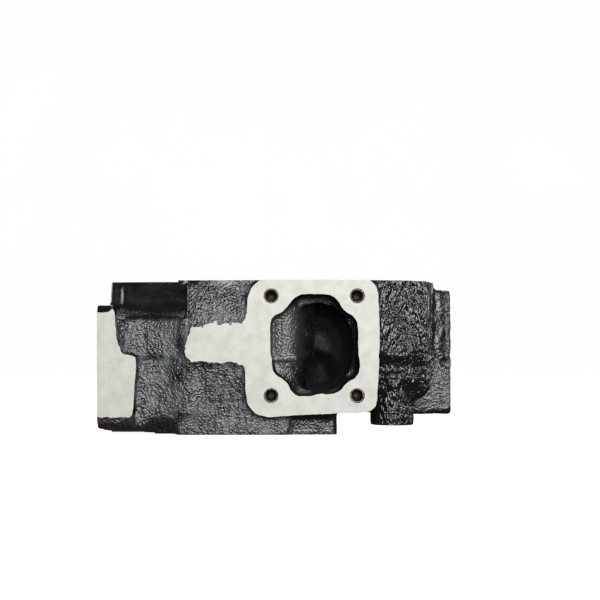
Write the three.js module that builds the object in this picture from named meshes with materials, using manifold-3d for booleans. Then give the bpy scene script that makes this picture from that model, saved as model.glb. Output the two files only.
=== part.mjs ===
// A water-cooled cylinder head for one cylinder of a heavy diesel engine, with four valves.
//
// Frame, in millimetres: +X runs along the head from the exhaust flange to the push rods, +Y runs
// from the intake face to the rear, +Z points up from the fire deck to the rocker deck. The origin
// is the middle of the head's outer box, on the fire deck's plane.

import * as THREE from "three";
import { mergeVertices } from "three/addons/utils/BufferGeometryUtils.js";
import Module from "manifold-3d";

const wasm = await Module();
wasm.setup();

// ---------------------------------------------------------------- driving dimensions

const DECK_Z = 118.5; // rocker deck, above the fire deck at zero
const FRONT_Y = -88; // milled intake face
const REAR_Y = 88; // milled pads of the rear wall
const LEFT_X = -138.5; // milled exhaust face
const RIGHT_X = 138.5; // outermost casting at the push rod end
const OVER = 2; // how far a cutter runs past the face that it cuts
const FIT = 0.15; // radial gap between a pressed or sliding piece and its bore
const FACE_GAP = 0.1; // axial gap between stacked pieces

const SIDES = { bore: 16, boss: 16, valve: 20, small: 8 };

const CYLINDER = { x: -47, y: 0, boreRadius: 57.5 };
const VALVE_OFFSET = 22; // of each valve from the cylinder's axis, along X and along Y

// Intake valves stand at the push rod end, exhaust valves at the exhaust face.
const VALVES = [
  { name: "intake_front", side: 1, row: -1, headRadius: 19 },
  { name: "intake_rear", side: 1, row: 1, headRadius: 19 },
  { name: "exhaust_front", side: -1, row: -1, headRadius: 17 },
  { name: "exhaust_rear", side: -1, row: 1, headRadius: 17 },
].map((v) => ({
  ...v,
  x: CYLINDER.x + v.side * VALVE_OFFSET,
  y: CYLINDER.y + v.row * VALVE_OFFSET,
}));

const POCKET = { left: -89, right: -5, halfWidth: 43, corner: 20, floor: 64 };

const STEM = { radius: 4.5, grooveRadius: 3.7, grooveZ: 105, tipZ: 115, headZ: 1 };
const GUIDE = { radius: 7.5, bore: 4.75, bottom: 38, top: 78 };
const SEAT = { bottom: 0.5, top: 8.5, wall: 1.5 };
const SPRING = {
  wire: 2.1, // radius
  radius: 12.6, // of the coil, to the middle of the wire
  bottom: 66.7,
  length: 36, // as fitted, with its valve shut
  turns: 5,
  closed: 0.85, // rise of each end turn, in wire diameters
  ground: 0.6, // taken off each end
};
const RETAINER = { radius: 15.5, hub: 9.2, spigot: 10.1, bottom: 99.5, top: 110 };
const COLLET = { low: 5.4, high: 7.2, bottom: 100.2, top: 111 };

const INJECTOR = { boss: 14.5, bossTop: 72, bore: 11.5, seatZ: 12, nozzle: 5, lip: 13.4 };
const GUIDE_PIN = { radius: 4.5, bottom: 52, top: 113 };

const HEAD_BOLT = { radius: 7.5, counterbore: 9.5, depth: 6 };
const HEAD_BOLTS = [
  [-98, -46],
  [-98, 46],
  [-47, -68],
  [-47, 68],
  [4, -46],
  [4, 46],
];

const INTAKE = {
  holes: { left: -6.1, right: 59.4, low: 30.3, high: 106.1 },
  left: -6.9,
  right: 59.9,
  low: 29.8,
  high: 107.5,
  parting: 58.9, // height of the joint between the two halves of the port's sand core
  mismatch: 1.2, // how far the lower core sat to the right
  scallop: 14.8,
};
const TAPPED_M10 = { radius: 4.4, chamfer: 5.6, depth: 18 };
const TAPPED_M8 = { radius: 3.4, depth: 16 };

const EXHAUST = { z: 50, halfWidth: 25, halfHeight: 20, corner: 14, boltY: 35, boltZ: 29 };
const PUSH_ROD = { x: 86.5, ys: [-58, -14], radius: 9.5, boss: 16.2, bossBottoms: [6.8, 14] };

const CORE_PLUG = { radius: 15, wall: 2, depth: 9, inset: 1.5, boss: 21 };
const REAR_PLUGS = [
  { name: "core_plug_rear_left", x: -82, z: 42 },
  { name: "core_plug_rear_middle", x: -14, z: 42 },
  { name: "core_plug_rear_right", x: 88, z: 84 },
];
const SIDE_PLUG = { name: "core_plug_side", y: 14, z: 84, wallX: 127 };
const WATER_OUTLET = { x: 33, z: 84, radius: 15, depth: 42, boltX: 25 };
const GALLERY_PLUG = { radius: 6.2, depth: 9, socket: 3 };
const GALLERY_PLUGS = [
  { name: "gallery_plug_upper", x: -72.5, z: 88 },
  { name: "gallery_plug_lower", x: 33, z: 40 },
];

// ---------------------------------------------------------------- materials

function metal(name, color, roughness, metalness) {
  return new THREE.MeshStandardMaterial({ name, color, roughness, metalness });
}

const MATERIALS = {
  casting: metal("black_painted_iron", 0x1b1c1e, 0.45, 0.3),
  valveSteel: metal("valve_steel", 0x9a9c9e, 0.3, 1),
  seatAlloy: metal("seat_alloy", 0x8a8782, 0.35, 1),
  guideIron: metal("guide_iron", 0x6f6a60, 0.5, 1),
  springSteel: metal("spring_steel", 0x3a3d42, 0.35, 0.9),
  hardenedSteel: metal("hardened_steel", 0x77797c, 0.4, 1),
  copper: metal("copper", 0xb0704a, 0.35, 1),
  sealRubber: metal("seal_rubber", 0x2d4a35, 0.7, 0),
  platedSteel: metal("plated_steel", 0xa9a48f, 0.35, 1),
};

// ---------------------------------------------------------------- solids from geometry

// A closed three.js geometry as a solid that can be joined and cut.
function solid(geometry) {
  const bare = geometry.index ? geometry.toNonIndexed() : geometry.clone();
  bare.deleteAttribute("normal");
  bare.deleteAttribute("uv");
  const merged = mergeVertices(bare, 1e-4);
  return new wasm.Manifold(
    new wasm.Mesh({
      numProp: 3,
      vertProperties: merged.getAttribute("position").array,
      triVerts: new Uint32Array(merged.index.array),
    }),
  );
}

function joined(...solids) {
  return solids.flat().reduce((whole, next) => whole.add(next));
}

// A solid as a BufferGeometry.
function geometryOf(made) {
  const mesh = made.getMesh();
  const geometry = new THREE.BufferGeometry();
  geometry.setAttribute("position", new THREE.BufferAttribute(mesh.vertProperties, 3));
  geometry.setIndex(new THREE.BufferAttribute(mesh.triVerts, 1));
  geometry.computeVertexNormals();
  return geometry;
}

function box([x0, x1], [y0, y1], [z0, z1]) {
  const made = new THREE.BoxGeometry(x1 - x0, y1 - y0, z1 - z0);
  return solid(made.translate((x0 + x1) / 2, (y0 + y1) / 2, (z0 + z1) / 2));
}

// An upright round post, which tapers when topRadius differs.
function post(x, y, [z0, z1], radius, sides = SIDES.bore, topRadius = radius) {
  const made = new THREE.CylinderGeometry(topRadius, radius, z1 - z0, sides);
  return solid(made.rotateX(Math.PI / 2).translate(x, y, (z0 + z1) / 2));
}

// A round post along Y; the second radius is at its rear end.
function postAlongY(x, z, [y0, y1], radius, sides = SIDES.bore, rearRadius = radius) {
  const made = new THREE.CylinderGeometry(rearRadius, radius, y1 - y0, sides);
  return solid(made.translate(x, (y0 + y1) / 2, z));
}

// A round post along X; the second radius is at its right end.
function postAlongX(y, z, [x0, x1], radius, sides = SIDES.bore, rightRadius = radius) {
  const made = new THREE.CylinderGeometry(rightRadius, radius, x1 - x0, sides);
  return solid(made.rotateZ(-Math.PI / 2).translate((x0 + x1) / 2, y, z));
}

function ellipsoid([x, y, z], [rx, ry, rz], sides = 12) {
  const made = new THREE.SphereGeometry(1, sides, sides / 2);
  return solid(made.scale(rx, ry, rz).translate(x, y, z));
}

// A plan outline, drawn in X and Y, raised from z0 to z1.
function raised(shape, [z0, z1], curveSegments = 3) {
  const options = { depth: z1 - z0, bevelEnabled: false, curveSegments };
  return solid(new THREE.ExtrudeGeometry(shape, options).translate(0, 0, z0));
}

// An elevation, drawn in X and Z, run from y0 back to y1.
function runAlongY(shape, [y0, y1], curveSegments = 3) {
  const options = { depth: y1 - y0, bevelEnabled: false, curveSegments };
  const made = new THREE.ExtrudeGeometry(shape, options);
  return solid(made.rotateX(Math.PI / 2).translate(0, y1, 0));
}

// A section, drawn in Y and Z, run from x0 to x1.
function runAlongX(shape, [x0, x1], curveSegments = 3) {
  const options = { depth: x1 - x0, bevelEnabled: false, curveSegments };
  const turn = new THREE.Matrix4().makeBasis(
    new THREE.Vector3(0, 1, 0),
    new THREE.Vector3(0, 0, 1),
    new THREE.Vector3(1, 0, 0),
  );
  const made = new THREE.ExtrudeGeometry(shape, options).applyMatrix4(turn);
  return solid(made.translate(x0, 0, 0));
}

// A round duct of one radius through the given points.
function duct(points, radius, steps = 4) {
  const path = new THREE.CatmullRomCurve3(points.map((p) => new THREE.Vector3(...p)));
  const section = new THREE.Shape().absarc(0, 0, radius, 0, 2 * Math.PI);
  const options = { steps, extrudePath: path, curveSegments: 4, bevelEnabled: false };
  return solid(new THREE.ExtrudeGeometry(section, options));
}

// A turned piece about an upright axis: profile is [radius, z] pairs, in order up the outside.
function turned(profile, sides = SIDES.valve) {
  const points = profile.map(([r, z]) => new THREE.Vector2(r, z));
  return solid(new THREE.LatheGeometry(points, sides).rotateX(Math.PI / 2));
}

// A turned ring: its outside from the bottom up, then its bore from the top down.
function turnedRing(outside, bore, sides = SIDES.valve) {
  return turned([...outside, ...bore, outside[0]], sides);
}

function roundedRectangle([x0, x1], [y0, y1], radius) {
  return new THREE.Shape()
    .absarc(x1 - radius, y0 + radius, radius, -Math.PI / 2, 0)
    .absarc(x1 - radius, y1 - radius, radius, 0, Math.PI / 2)
    .absarc(x0 + radius, y1 - radius, radius, Math.PI / 2, Math.PI)
    .absarc(x0 + radius, y0 + radius, radius, Math.PI, 1.5 * Math.PI);
}

function polygon(points) {
  return new THREE.Shape(points.map(([x, y]) => new THREE.Vector2(x, y)));
}

// A tapped hole in a face at the given height along its axis, as a plain drilling. Each way that a
// face can look has its own run, and the holes of the two flanges are countersunk.
const TAP_RUNS = {
  front: (h, [u, v], at) =>
    joined(
      postAlongY(u, v, [at - OVER, at + h.depth], h.radius),
      postAlongY(u, v, [at - OVER, at + 1.2], h.chamfer + OVER, SIDES.bore, h.radius),
    ),
  left: (h, [u, v], at) =>
    joined(
      postAlongX(u, v, [at - OVER, at + h.depth], h.radius, SIDES.small),
      postAlongX(u, v, [at - OVER, at + 1.2], h.chamfer + OVER, SIDES.small, h.radius),
    ),
  rear: (h, [u, v], at) => postAlongY(u, v, [at - h.depth, at + OVER], h.radius, SIDES.small),
  up: (h, [u, v], at) => post(u, v, [at - h.depth, at + OVER], h.radius, SIDES.small),
};

function tapped(hole, facing, places, at) {
  return places.map((place) => TAP_RUNS[facing](hole, place, at));
}

// ---------------------------------------------------------------- the raw casting

// The block over the cylinder, from the fire deck up.
function fireDeckBlock() {
  return raised(roundedRectangle([-134, 44.3], [-82, 84], 8), [0, 72], 2);
}

// The upper body, which overhangs the block towards the push rods. Its front left edge is cut
// away on a slope that deepens towards the exhaust face.
function upperBody() {
  const plan = new THREE.Shape()
    .moveTo(-133, -80)
    .lineTo(74, -81)
    .bezierCurveTo(100, -80, 119, -72, 123, -42)
    .lineTo(124, 74)
    .quadraticCurveTo(124, 84, 114, 84)
    .lineTo(-123, 84)
    .quadraticCurveTo(-133, 84, -133, 74);
  const lean = polygon([
    [-100, 80],
    [-77, 89],
    [-63, 100],
    [-55, DECK_Z + OVER],
    [-100, DECK_Z + OVER],
  ]);
  const slope = runAlongX(lean, [-90, 0])
    .rotate([0, 0, -8])
    .translate([-61, -6, 0]);
  return raised(plan, [62, DECK_Z]).subtract(slope);
}

// The round lower bulge of the overhang, round the push rods.
function pushRodBelly() {
  const elevation = new THREE.Shape()
    .moveTo(40, 25)
    .lineTo(96, 25)
    .bezierCurveTo(112, 26, 119, 36, 120, 52)
    .lineTo(120, 62.5)
    .lineTo(40, 62.5);
  const back = runAlongY(elevation, [-68, 66]);
  const nose = ellipsoid([92, -66, 44], [27, 10, 19]);
  return joined(back, nose);
}

function pushRodBosses() {
  const { x, ys, boss, bossBottoms } = PUSH_ROD;
  return ys.map((y, i) => post(x, y, [bossBottoms[i], 34], boss - 0.9, SIDES.boss, boss));
}

// The block behind the exhaust flange, which stops short of the rocker deck, and the pad at its
// front corner that is milled with the intake face.
function exhaustBlock() {
  const top = 99.6;
  const pad = polygon([
    [LEFT_X - OVER, 3],
    [-112.4, 3],
    [-108.6, 53],
    [-108.6, 60.2],
    [-120, 62],
    [-121, 69],
    [-126, top],
    [LEFT_X - OVER, top],
  ]);
  const roundedTop = polygon([
    [FRONT_Y - 2 * OVER, 92],
    [FRONT_Y + 1.5, 96.5],
    [FRONT_Y + 9, top + OVER],
    [FRONT_Y - 2 * OVER, top + OVER],
  ]);
  return joined(
    runAlongY(pad, [FRONT_Y - OVER, -60]).subtract(runAlongX(roundedTop, [-150, -100])),
    box([LEFT_X - OVER, -124], [-62, 66], [3, top]),
  );
}

// The barrel-shaped column in the middle of the front wall, round a head bolt. The milling cutter
// just reaches its belly, so a tongue of bare metal runs across it into the intake flange.
function frontColumn() {
  const section = polygon([
    [-60, 0],
    [-82, 0],
    [-83.5, 24],
    [-87, 53],
    [-90.5, 62],
    [-90.5, 78],
    [-87, 89],
    [-83, 107],
    [-80, DECK_Z],
    [-60, DECK_Z],
  ]);
  const plan = polygon([
    [-79, -60],
    [-78, -80],
    [-69, -91],
    [-20, -91],
    [-20, -60],
  ]);
  return runAlongX(section, [-80, -22]).intersect(raised(plan, [-OVER, DECK_Z + OVER]));
}

function intakeFlange() {
  const outline = new THREE.Shape()
    .moveTo(-8, 13.5)
    .quadraticCurveTo(-26, 15, -25.6, 34)
    .lineTo(-24, 104)
    .quadraticCurveTo(-22, DECK_Z, -9, DECK_Z)
    .lineTo(64, DECK_Z)
    .quadraticCurveTo(75, DECK_Z, 75.4, 106)
    .quadraticCurveTo(77.6, 66, 74.8, 27)
    .quadraticCurveTo(74, 17.6, 63.6, 17.4)
    .lineTo(12, 15.2);
  return runAlongY(outline, [FRONT_Y - OVER, -74]);
}

// The intake duct's outer wall below the upper body.
function intakeShell() {
  return runAlongY(roundedRectangle([20, 70], [21, 80], 12), [-80, -20]);
}

// The columns and the lug at the push rod end.
function endColumns() {
  return joined(
    post(122.5, -31, [50, 113], 16, SIDES.boss, 15.2),
    box([104, 136.5], [-47, 26], [14, 51]),
    post(122, 62, [20, 108], 16, SIDES.boss, 15),
  );
}

// Bolt columns, plug bosses and the water outlet's pad on the rear wall.
function rearFeatures() {
  const columns = HEAD_BOLTS.filter(([, y]) => y > 0).map(([x]) =>
    post(x, 74, [0, DECK_Z], 13.5, SIDES.boss),
  );
  const bosses = REAR_PLUGS.map((p) =>
    postAlongY(p.x, p.z, [70, REAR_Y], CORE_PLUG.boss, SIDES.boss),
  );
  const outletPad = runAlongY(
    roundedRectangle([WATER_OUTLET.x - 35, WATER_OUTLET.x + 35], [62, 106], 16),
    [70, REAR_Y],
  );
  const galleryPads = GALLERY_PLUGS.map((p) => postAlongY(p.x, p.z, [70, REAR_Y - 1], 11));
  return joined(columns, bosses, outletPad, galleryPads);
}

function sideBoss() {
  const { y, z, wallX } = SIDE_PLUG;
  return postAlongX(y, z, [110, wallX], CORE_PLUG.boss - 1);
}

// The milling cuts that square the casting to its faces, and the casting's cut-back edges.
function squared(raw) {
  const envelope = box([LEFT_X, RIGHT_X], [FRONT_Y, REAR_Y], [0, DECK_Z]);
  const lowEdge = polygon([
    [FRONT_Y - OVER, 15.5],
    [FRONT_Y - OVER, -OVER],
    [-58, -OVER],
    [-72, 2.2],
    [-83, 5.5],
    [FRONT_Y, 12.9],
  ]);
  const scoop = ellipsoid([-92, -84, 1], [16, 13, 8.5]);
  const heel = box([8, 60], [FRONT_Y - OVER, -78.5], [-OVER, 13.5]);
  return raw
    .intersect(envelope)
    .subtract(runAlongX(lowEdge, [-150, -80]))
    .subtract(scoop)
    .subtract(heel);
}

// ---------------------------------------------------------------- passages

// The intake mouth's outline. It curves in round each tapped hole; shift moves it along X.
function intakeOutline(shift) {
  const { holes, left, right, low, high, scallop } = INTAKE;
  const turn = THREE.MathUtils.degToRad;
  const [x0, x1] = [left + shift, right + shift];
  const shape = new THREE.Shape().moveTo(x0, 54);
  shape.lineTo(x0, 84);
  shape.quadraticCurveTo(x0, 90, -2.3 + shift, 92);
  shape.absarc(holes.left, holes.high, scallop, turn(-70), turn(-26), false);
  shape.quadraticCurveTo(12.5, high, 19, high);
  shape.lineTo(35, high);
  shape.quadraticCurveTo(42, high, 45.4, 100.8);
  shape.absarc(holes.right, holes.high, scallop, turn(202), turn(254), false);
  shape.quadraticCurveTo(x1, 88, x1, 82);
  shape.lineTo(x1 + 0.4, 53);
  shape.quadraticCurveTo(x1 + 0.4, 45, 55, 42.2);
  shape.absarc(holes.right, holes.low, scallop - 2, turn(112), turn(160), false);
  shape.quadraticCurveTo(43, 31, 38, 31);
  shape.lineTo(31, 31.8);
  shape.lineTo(24, low);
  shape.lineTo(15, low);
  shape.quadraticCurveTo(11, 31, 8.6, 35);
  shape.absarc(holes.left, holes.low, scallop + 0.6, turn(16), turn(70), false);
  shape.quadraticCurveTo(x0, 47, x0, 54);
  return shape;
}

// The mouth is cored in two halves that didn't quite line up.
function intakeMouth() {
  const reach = [FRONT_Y - OVER, -64];
  const upper = box([-60, 100], reach, [INTAKE.parting, DECK_Z]);
  const lower = box([-60, 100], reach, [0, INTAKE.parting]);
  return joined(
    runAlongY(intakeOutline(0), reach).intersect(upper),
    runAlongY(intakeOutline(INTAKE.mismatch), reach).intersect(lower),
  );
}

// From the mouth, round the bolt pillar, to both intake valves.
function intakePassage() {
  const chamber = ellipsoid([30, -50, 67], [30.5, 37, 37.5], 16);
  const trunk = duct([[32, -44, 58], [27, -12, 46], [-4, 0, 33]], 18.5);
  const branches = VALVES.filter((v) => v.side > 0).map((v) =>
    joined(
      duct([[4, 0, 33], [-8, v.y * 0.45, 31], [v.x, v.y, 28]], 14.5, 3),
      ellipsoid([v.x, v.y, 28], [15.5, 15.5, 14.5]),
    ),
  );
  return joined(intakeMouth(), chamber, trunk, branches);
}

// From both exhaust valves to the mouth in the exhaust face.
function exhaustPassage() {
  const { z, halfWidth, halfHeight, corner } = EXHAUST;
  const heights = [z - halfHeight, z + halfHeight];
  const outline = roundedRectangle([-halfWidth, halfWidth], heights, corner);
  const mouth = runAlongX(outline, [LEFT_X - OVER, -116]);
  const branches = VALVES.filter((v) => v.side < 0).map((v) =>
    joined(
      duct([[v.x, v.y, 28], [-92, v.y * 0.66, 37], [-122, v.y * 0.3, 49]], 14),
      ellipsoid([v.x, v.y, 28], [14.5, 14.5, 14]),
    ),
  );
  return joined(mouth, branches);
}

// Walls that stand inside the passages: the head bolts' pillars, of which the one that divides the
// intake port is the stoutest, and the bosses of the injector and the valve guides.
function pillars() {
  const bolts = HEAD_BOLTS.map(([x, y]) => post(x, y, [1, DECK_Z - 1], 12.5));
  const dividing = post(3, -50, [1, DECK_Z - 1], 18.5, SIDES.valve);
  const guides = VALVES.map((v) => post(v.x, v.y, [40, POCKET.floor], 10.5, SIDES.boss, 12.5));
  const injector = post(CYLINDER.x, CYLINDER.y, [1, POCKET.floor], 15, SIDES.boss);
  return joined(bolts, dividing, guides, injector);
}

// The pocket in the rocker deck that the springs stand in, round the injector's boss.
function springPocket() {
  const { left, right, halfWidth, corner, floor } = POCKET;
  const plan = roundedRectangle([left, right], [-halfWidth, halfWidth], corner);
  const boss = post(CYLINDER.x, CYLINDER.y, [floor - OVER, INJECTOR.bossTop], INJECTOR.boss);
  return raised(plan, [floor, DECK_Z + OVER]).subtract(boss);
}

// ---------------------------------------------------------------- machining

function valveBores() {
  return VALVES.flatMap((v) => {
    const recess = v.headRadius + SEAT.wall + FIT;
    return [
      post(v.x, v.y, [-OVER, SEAT.top + FACE_GAP], recess, SIDES.valve),
      post(v.x, v.y, [SEAT.top - 1, 26], v.headRadius - 3.6, SIDES.valve),
      post(v.x, v.y, [30, POCKET.floor + OVER], GUIDE.radius + FIT, SIDES.bore),
    ];
  });
}

function injectorBore() {
  const { bossTop, bore, seatZ, nozzle } = INJECTOR;
  return joined(
    post(CYLINDER.x, CYLINDER.y, [seatZ - FACE_GAP, bossTop + OVER], bore + FIT, SIDES.valve),
    post(CYLINDER.x, CYLINDER.y, [-OVER, seatZ + 1], nozzle, SIDES.bore),
  );
}

function headBoltBores() {
  const { radius, counterbore, depth } = HEAD_BOLT;
  return HEAD_BOLTS.flatMap(([x, y]) => [
    post(x, y, [-OVER, DECK_Z + OVER], radius, SIDES.bore),
    post(x, y, [DECK_Z - depth, DECK_Z + OVER], counterbore, SIDES.boss),
  ]);
}

// Coolant holes round the bore, and the groove for the gasket's fire ring.
function fireDeckCuts() {
  const ringRadius = CYLINDER.boreRadius + 8.5;
  const degrees = [18, 72, 108, 162, 198, 252, 288, 342];
  const holes = degrees.map((deg) => {
    const angle = THREE.MathUtils.degToRad(deg);
    const x = CYLINDER.x + ringRadius * Math.cos(angle);
    const y = CYLINDER.y + ringRadius * Math.sin(angle);
    return post(x, y, [-OVER, 24], 4.5, SIDES.small);
  });
  const groove = post(CYLINDER.x, CYLINDER.y, [-OVER, 0.8], CYLINDER.boreRadius + 1.5, 32).subtract(
    post(CYLINDER.x, CYLINDER.y, [-2 * OVER, 2], CYLINDER.boreRadius - 0.5, 32),
  );
  return joined(holes, groove);
}

function guidePinPlaces() {
  return [
    { name: "bridge_guide_pin_intake", x: CYLINDER.x + VALVE_OFFSET, y: CYLINDER.y },
    { name: "bridge_guide_pin_exhaust", x: CYLINDER.x - VALVE_OFFSET, y: CYLINDER.y },
  ];
}

function smallBores() {
  const pins = guidePinPlaces().map((p) =>
    post(p.x, p.y, [GUIDE_PIN.bottom - FACE_GAP, POCKET.floor + OVER], GUIDE_PIN.radius + FIT),
  );
  const pushRods = PUSH_ROD.ys.map((y) =>
    post(PUSH_ROD.x, y, [-OVER, DECK_Z + OVER], PUSH_ROD.radius, SIDES.bore),
  );
  const plugReach = CORE_PLUG.depth + 12;
  const rearPlugs = REAR_PLUGS.map((p) =>
    postAlongY(p.x, p.z, [REAR_Y - plugReach, REAR_Y + OVER], CORE_PLUG.radius + FIT),
  );
  const { y, z, wallX } = SIDE_PLUG;
  const sideReach = [wallX - plugReach, wallX + OVER];
  const sidePlug = postAlongX(y, z, sideReach, CORE_PLUG.radius + FIT);
  const gallery = GALLERY_PLUGS.map((p) =>
    postAlongY(p.x, p.z, [REAR_Y - 22, REAR_Y + OVER], GALLERY_PLUG.radius + FIT),
  );
  const outlet = postAlongY(
    WATER_OUTLET.x,
    WATER_OUTLET.z,
    [REAR_Y - WATER_OUTLET.depth, REAR_Y + OVER],
    WATER_OUTLET.radius,
    SIDES.boss,
  );
  return joined(pins, pushRods, rearPlugs, sidePlug, gallery, outlet);
}

function tappedHoles() {
  const { holes } = INTAKE;
  const intake = [holes.left, holes.right].flatMap((x) =>
    [holes.low, holes.high].map((z) => [x, z]),
  );
  const exhaust = [-1, 1].flatMap((a) =>
    [-1, 1].map((b) => [a * EXHAUST.boltY, EXHAUST.z + b * EXHAUST.boltZ]),
  );
  const outlet = [-1, 1].map((a) => [WATER_OUTLET.x + a * WATER_OUTLET.boltX, WATER_OUTLET.z]);
  const cover = [
    [-117, -40],
    [-117, 66],
    [-72, 74],
    [-22, 74],
    [52, 72],
    [110, 66],
    [108, -30],
  ];
  const pedestal = [
    [24, -4],
    [24, 34],
  ];
  return joined(
    tapped(TAPPED_M10, "front", intake, FRONT_Y),
    tapped(TAPPED_M10, "left", exhaust, LEFT_X),
    tapped(TAPPED_M8, "rear", outlet, REAR_Y),
    tapped(TAPPED_M8, "up", cover, DECK_Z),
    tapped(TAPPED_M10, "up", pedestal, DECK_Z),
  );
}

function headCasting() {
  const raw = joined(
    fireDeckBlock(),
    upperBody(),
    pushRodBelly(),
    pushRodBosses(),
    exhaustBlock(),
    frontColumn(),
    intakeFlange(),
    intakeShell(),
    endColumns(),
    rearFeatures(),
    sideBoss(),
  );
  const outer = squared(raw);
  const cored = outer
    .subtract(intakePassage())
    .subtract(exhaustPassage())
    .add(pillars().intersect(outer));
  return cored
    .subtract(springPocket())
    .subtract(joined(valveBores()))
    .subtract(injectorBore())
    .subtract(joined(headBoltBores()))
    .subtract(fireDeckCuts())
    .subtract(smallBores())
    .subtract(tappedHoles());
}

// ---------------------------------------------------------------- the valve train

// Each piece of the valve train is turned about its own axis, and its mesh is placed on the valve's.

function valveSolid(headRadius) {
  const { radius, grooveRadius, grooveZ, tipZ, headZ } = STEM;
  const throat = headRadius - 3;
  const tulip = [0.6, 0.3, 0.1].map((share, i) => [
    radius + (throat - radius) * share,
    headZ + 6 + 3.4 * i,
  ]);
  return turned([
    [0, headZ],
    [headRadius - 0.4, headZ],
    [headRadius, headZ + 0.4],
    [headRadius, headZ + 2],
    [throat, headZ + 5],
    ...tulip,
    [radius, headZ + 18],
    [radius, grooveZ - 1.2],
    [grooveRadius, grooveZ - 0.6],
    [grooveRadius, grooveZ + 0.6],
    [radius, grooveZ + 1.2],
    [radius, tipZ - 0.8],
    [radius - 0.8, tipZ],
    [0, tipZ],
  ], SIDES.bore);
}

function seatSolid(headRadius) {
  const outer = headRadius + SEAT.wall;
  return turnedRing(
    [
      [outer, SEAT.bottom],
      [outer, SEAT.top],
    ],
    [
      [headRadius - 3.6, SEAT.top],
      [headRadius - 2.8, SEAT.bottom + 5.6],
      [headRadius + 0.4, SEAT.bottom + 2.4],
      [headRadius + 0.4, SEAT.bottom],
    ],
  );
}

function guideSolid() {
  const { radius, bore, bottom, top } = GUIDE;
  return turnedRing(
    [
      [radius - 1.2, bottom],
      [radius, bottom + 4],
      [radius, top - 1],
      [radius - 1, top],
    ],
    [
      [bore, top],
      [bore, bottom],
    ],
    SIDES.bore,
  );
}

function springSeatSolid() {
  const bottom = POCKET.floor + FACE_GAP;
  const top = SPRING.bottom - FACE_GAP;
  const lip = SPRING.radius - SPRING.wire - 0.3;
  return turnedRing(
    [
      [16, bottom],
      [16, top],
      [lip, top],
      [lip, top + 1.6],
    ],
    [
      [GUIDE.radius + 2.4, top + 1.6],
      [GUIDE.radius + 2.4, top - 1],
      [GUIDE.radius + 0.3, top - 1],
      [GUIDE.radius + 0.3, bottom],
    ],
    SIDES.bore,
  );
}

function stemSealSolid() {
  const { radius, bore, top } = GUIDE;
  return turnedRing(
    [
      [radius + 1.7, top - 8],
      [radius + 1.7, top + 0.5],
      [radius + 0.2, top + 3],
      [radius - 0.6, top + 6],
    ],
    [
      [bore, top + 6],
      [bore, top + FACE_GAP],
      [radius + FIT, top + FACE_GAP],
      [radius + FIT, top - 8],
    ],
    SIDES.bore,
  );
}

// The coil's centreline: a closed turn at each end and an even pitch between them.
class SpringCurve extends THREE.Curve {
  getPoint(t, target = new THREE.Vector3()) {
    const { radius, wire, length, turns, closed, ground } = SPRING;
    const turn = t * turns;
    const endRise = 2 * wire * closed;
    const pitch = (length + 2 * ground - 2 * wire - 2 * endRise) / (turns - 2);
    const inner = THREE.MathUtils.clamp(turn - 1, 0, turns - 2);
    const ends = Math.min(turn, 1) + Math.max(turn - (turns - 1), 0);
    const angle = 2 * Math.PI * turn;
    const height = wire + ends * endRise + inner * pitch;
    return target.set(radius * Math.cos(angle), radius * Math.sin(angle), height);
  }
}

// A coil spring whose end turns are ground flat.
function springSolid() {
  const { radius, wire, bottom, length, turns, ground } = SPRING;
  const section = new THREE.Shape().absarc(0, 0, wire, 0, 2 * Math.PI);
  const coil = new THREE.ExtrudeGeometry(section, {
    steps: turns * 10,
    extrudePath: new SpringCurve(),
    curveSegments: 3,
    bevelEnabled: false,
  });
  const reach = radius + 2 * wire;
  const kept = box([-reach, reach], [-reach, reach], [ground, length + ground]);
  return solid(coil).intersect(kept).translate([0, 0, bottom - ground]);
}

// The taper that the collets wedge in, grown sideways by gap.
function colletCone(gap, [z0, z1]) {
  const { low, high, bottom, top } = COLLET;
  const at = (z) => low + ((high - low) * (z - bottom)) / (top - bottom) + gap;
  return post(0, 0, [z0, z1], at(z0), SIDES.bore, at(z1));
}

function retainerSolid() {
  const { radius, hub, spigot, bottom, top } = RETAINER;
  const seat = SPRING.bottom + SPRING.length + FACE_GAP;
  const blank = turned(
    [
      [0, bottom],
      [spigot, bottom],
      [spigot, seat],
      [radius, seat],
      [radius, seat + 2.6],
      [hub + 1.6, seat + 3.6],
      [hub, top],
      [0, top],
    ],
    SIDES.bore,
  );
  return blank.subtract(colletCone(FIT, [bottom - OVER, top + OVER]));
}

// One of the two half collets that grip the stem's groove.
function colletSolid(half) {
  const { bottom, top } = COLLET;
  const { radius, grooveRadius, grooveZ } = STEM;
  const bore = turned(
    [
      [0, bottom - OVER],
      [radius + FIT, bottom - OVER],
      [radius + FIT, grooveZ - 1],
      [grooveRadius + FIT + 0.1, grooveZ - 0.4],
      [grooveRadius + FIT + 0.1, grooveZ + 0.4],
      [radius + FIT, grooveZ + 1],
      [radius + FIT, top + OVER],
      [0, top + OVER],
    ],
    SIDES.bore,
  );
  const side = half === "a" ? [0.5, 20] : [-20, -0.5];
  return colletCone(0, [bottom, top]).subtract(bore).intersect(box(side, [-20, 20], [0, 200]));
}

// ---------------------------------------------------------------- other pieces

function injectorSleeve() {
  const { bossTop, bore, seatZ, lip } = INJECTOR;
  return turnedRing(
    [
      [bore, seatZ],
      [bore, bossTop + FACE_GAP],
      [lip, bossTop + FACE_GAP],
      [lip, bossTop + 1.6],
    ],
    [
      [bore - 1.6, bossTop + 1.6],
      [bore - 1.6, seatZ + 9],
      [5.6, seatZ + 4],
      [5.6, seatZ],
    ],
  );
}

function guidePin() {
  const { radius, bottom, top } = GUIDE_PIN;
  return turned(
    [
      [0, bottom],
      [radius, bottom],
      [radius, top - 1.5],
      [radius - 1.5, top],
      [0, top],
    ],
    SIDES.bore,
  );
}

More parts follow.
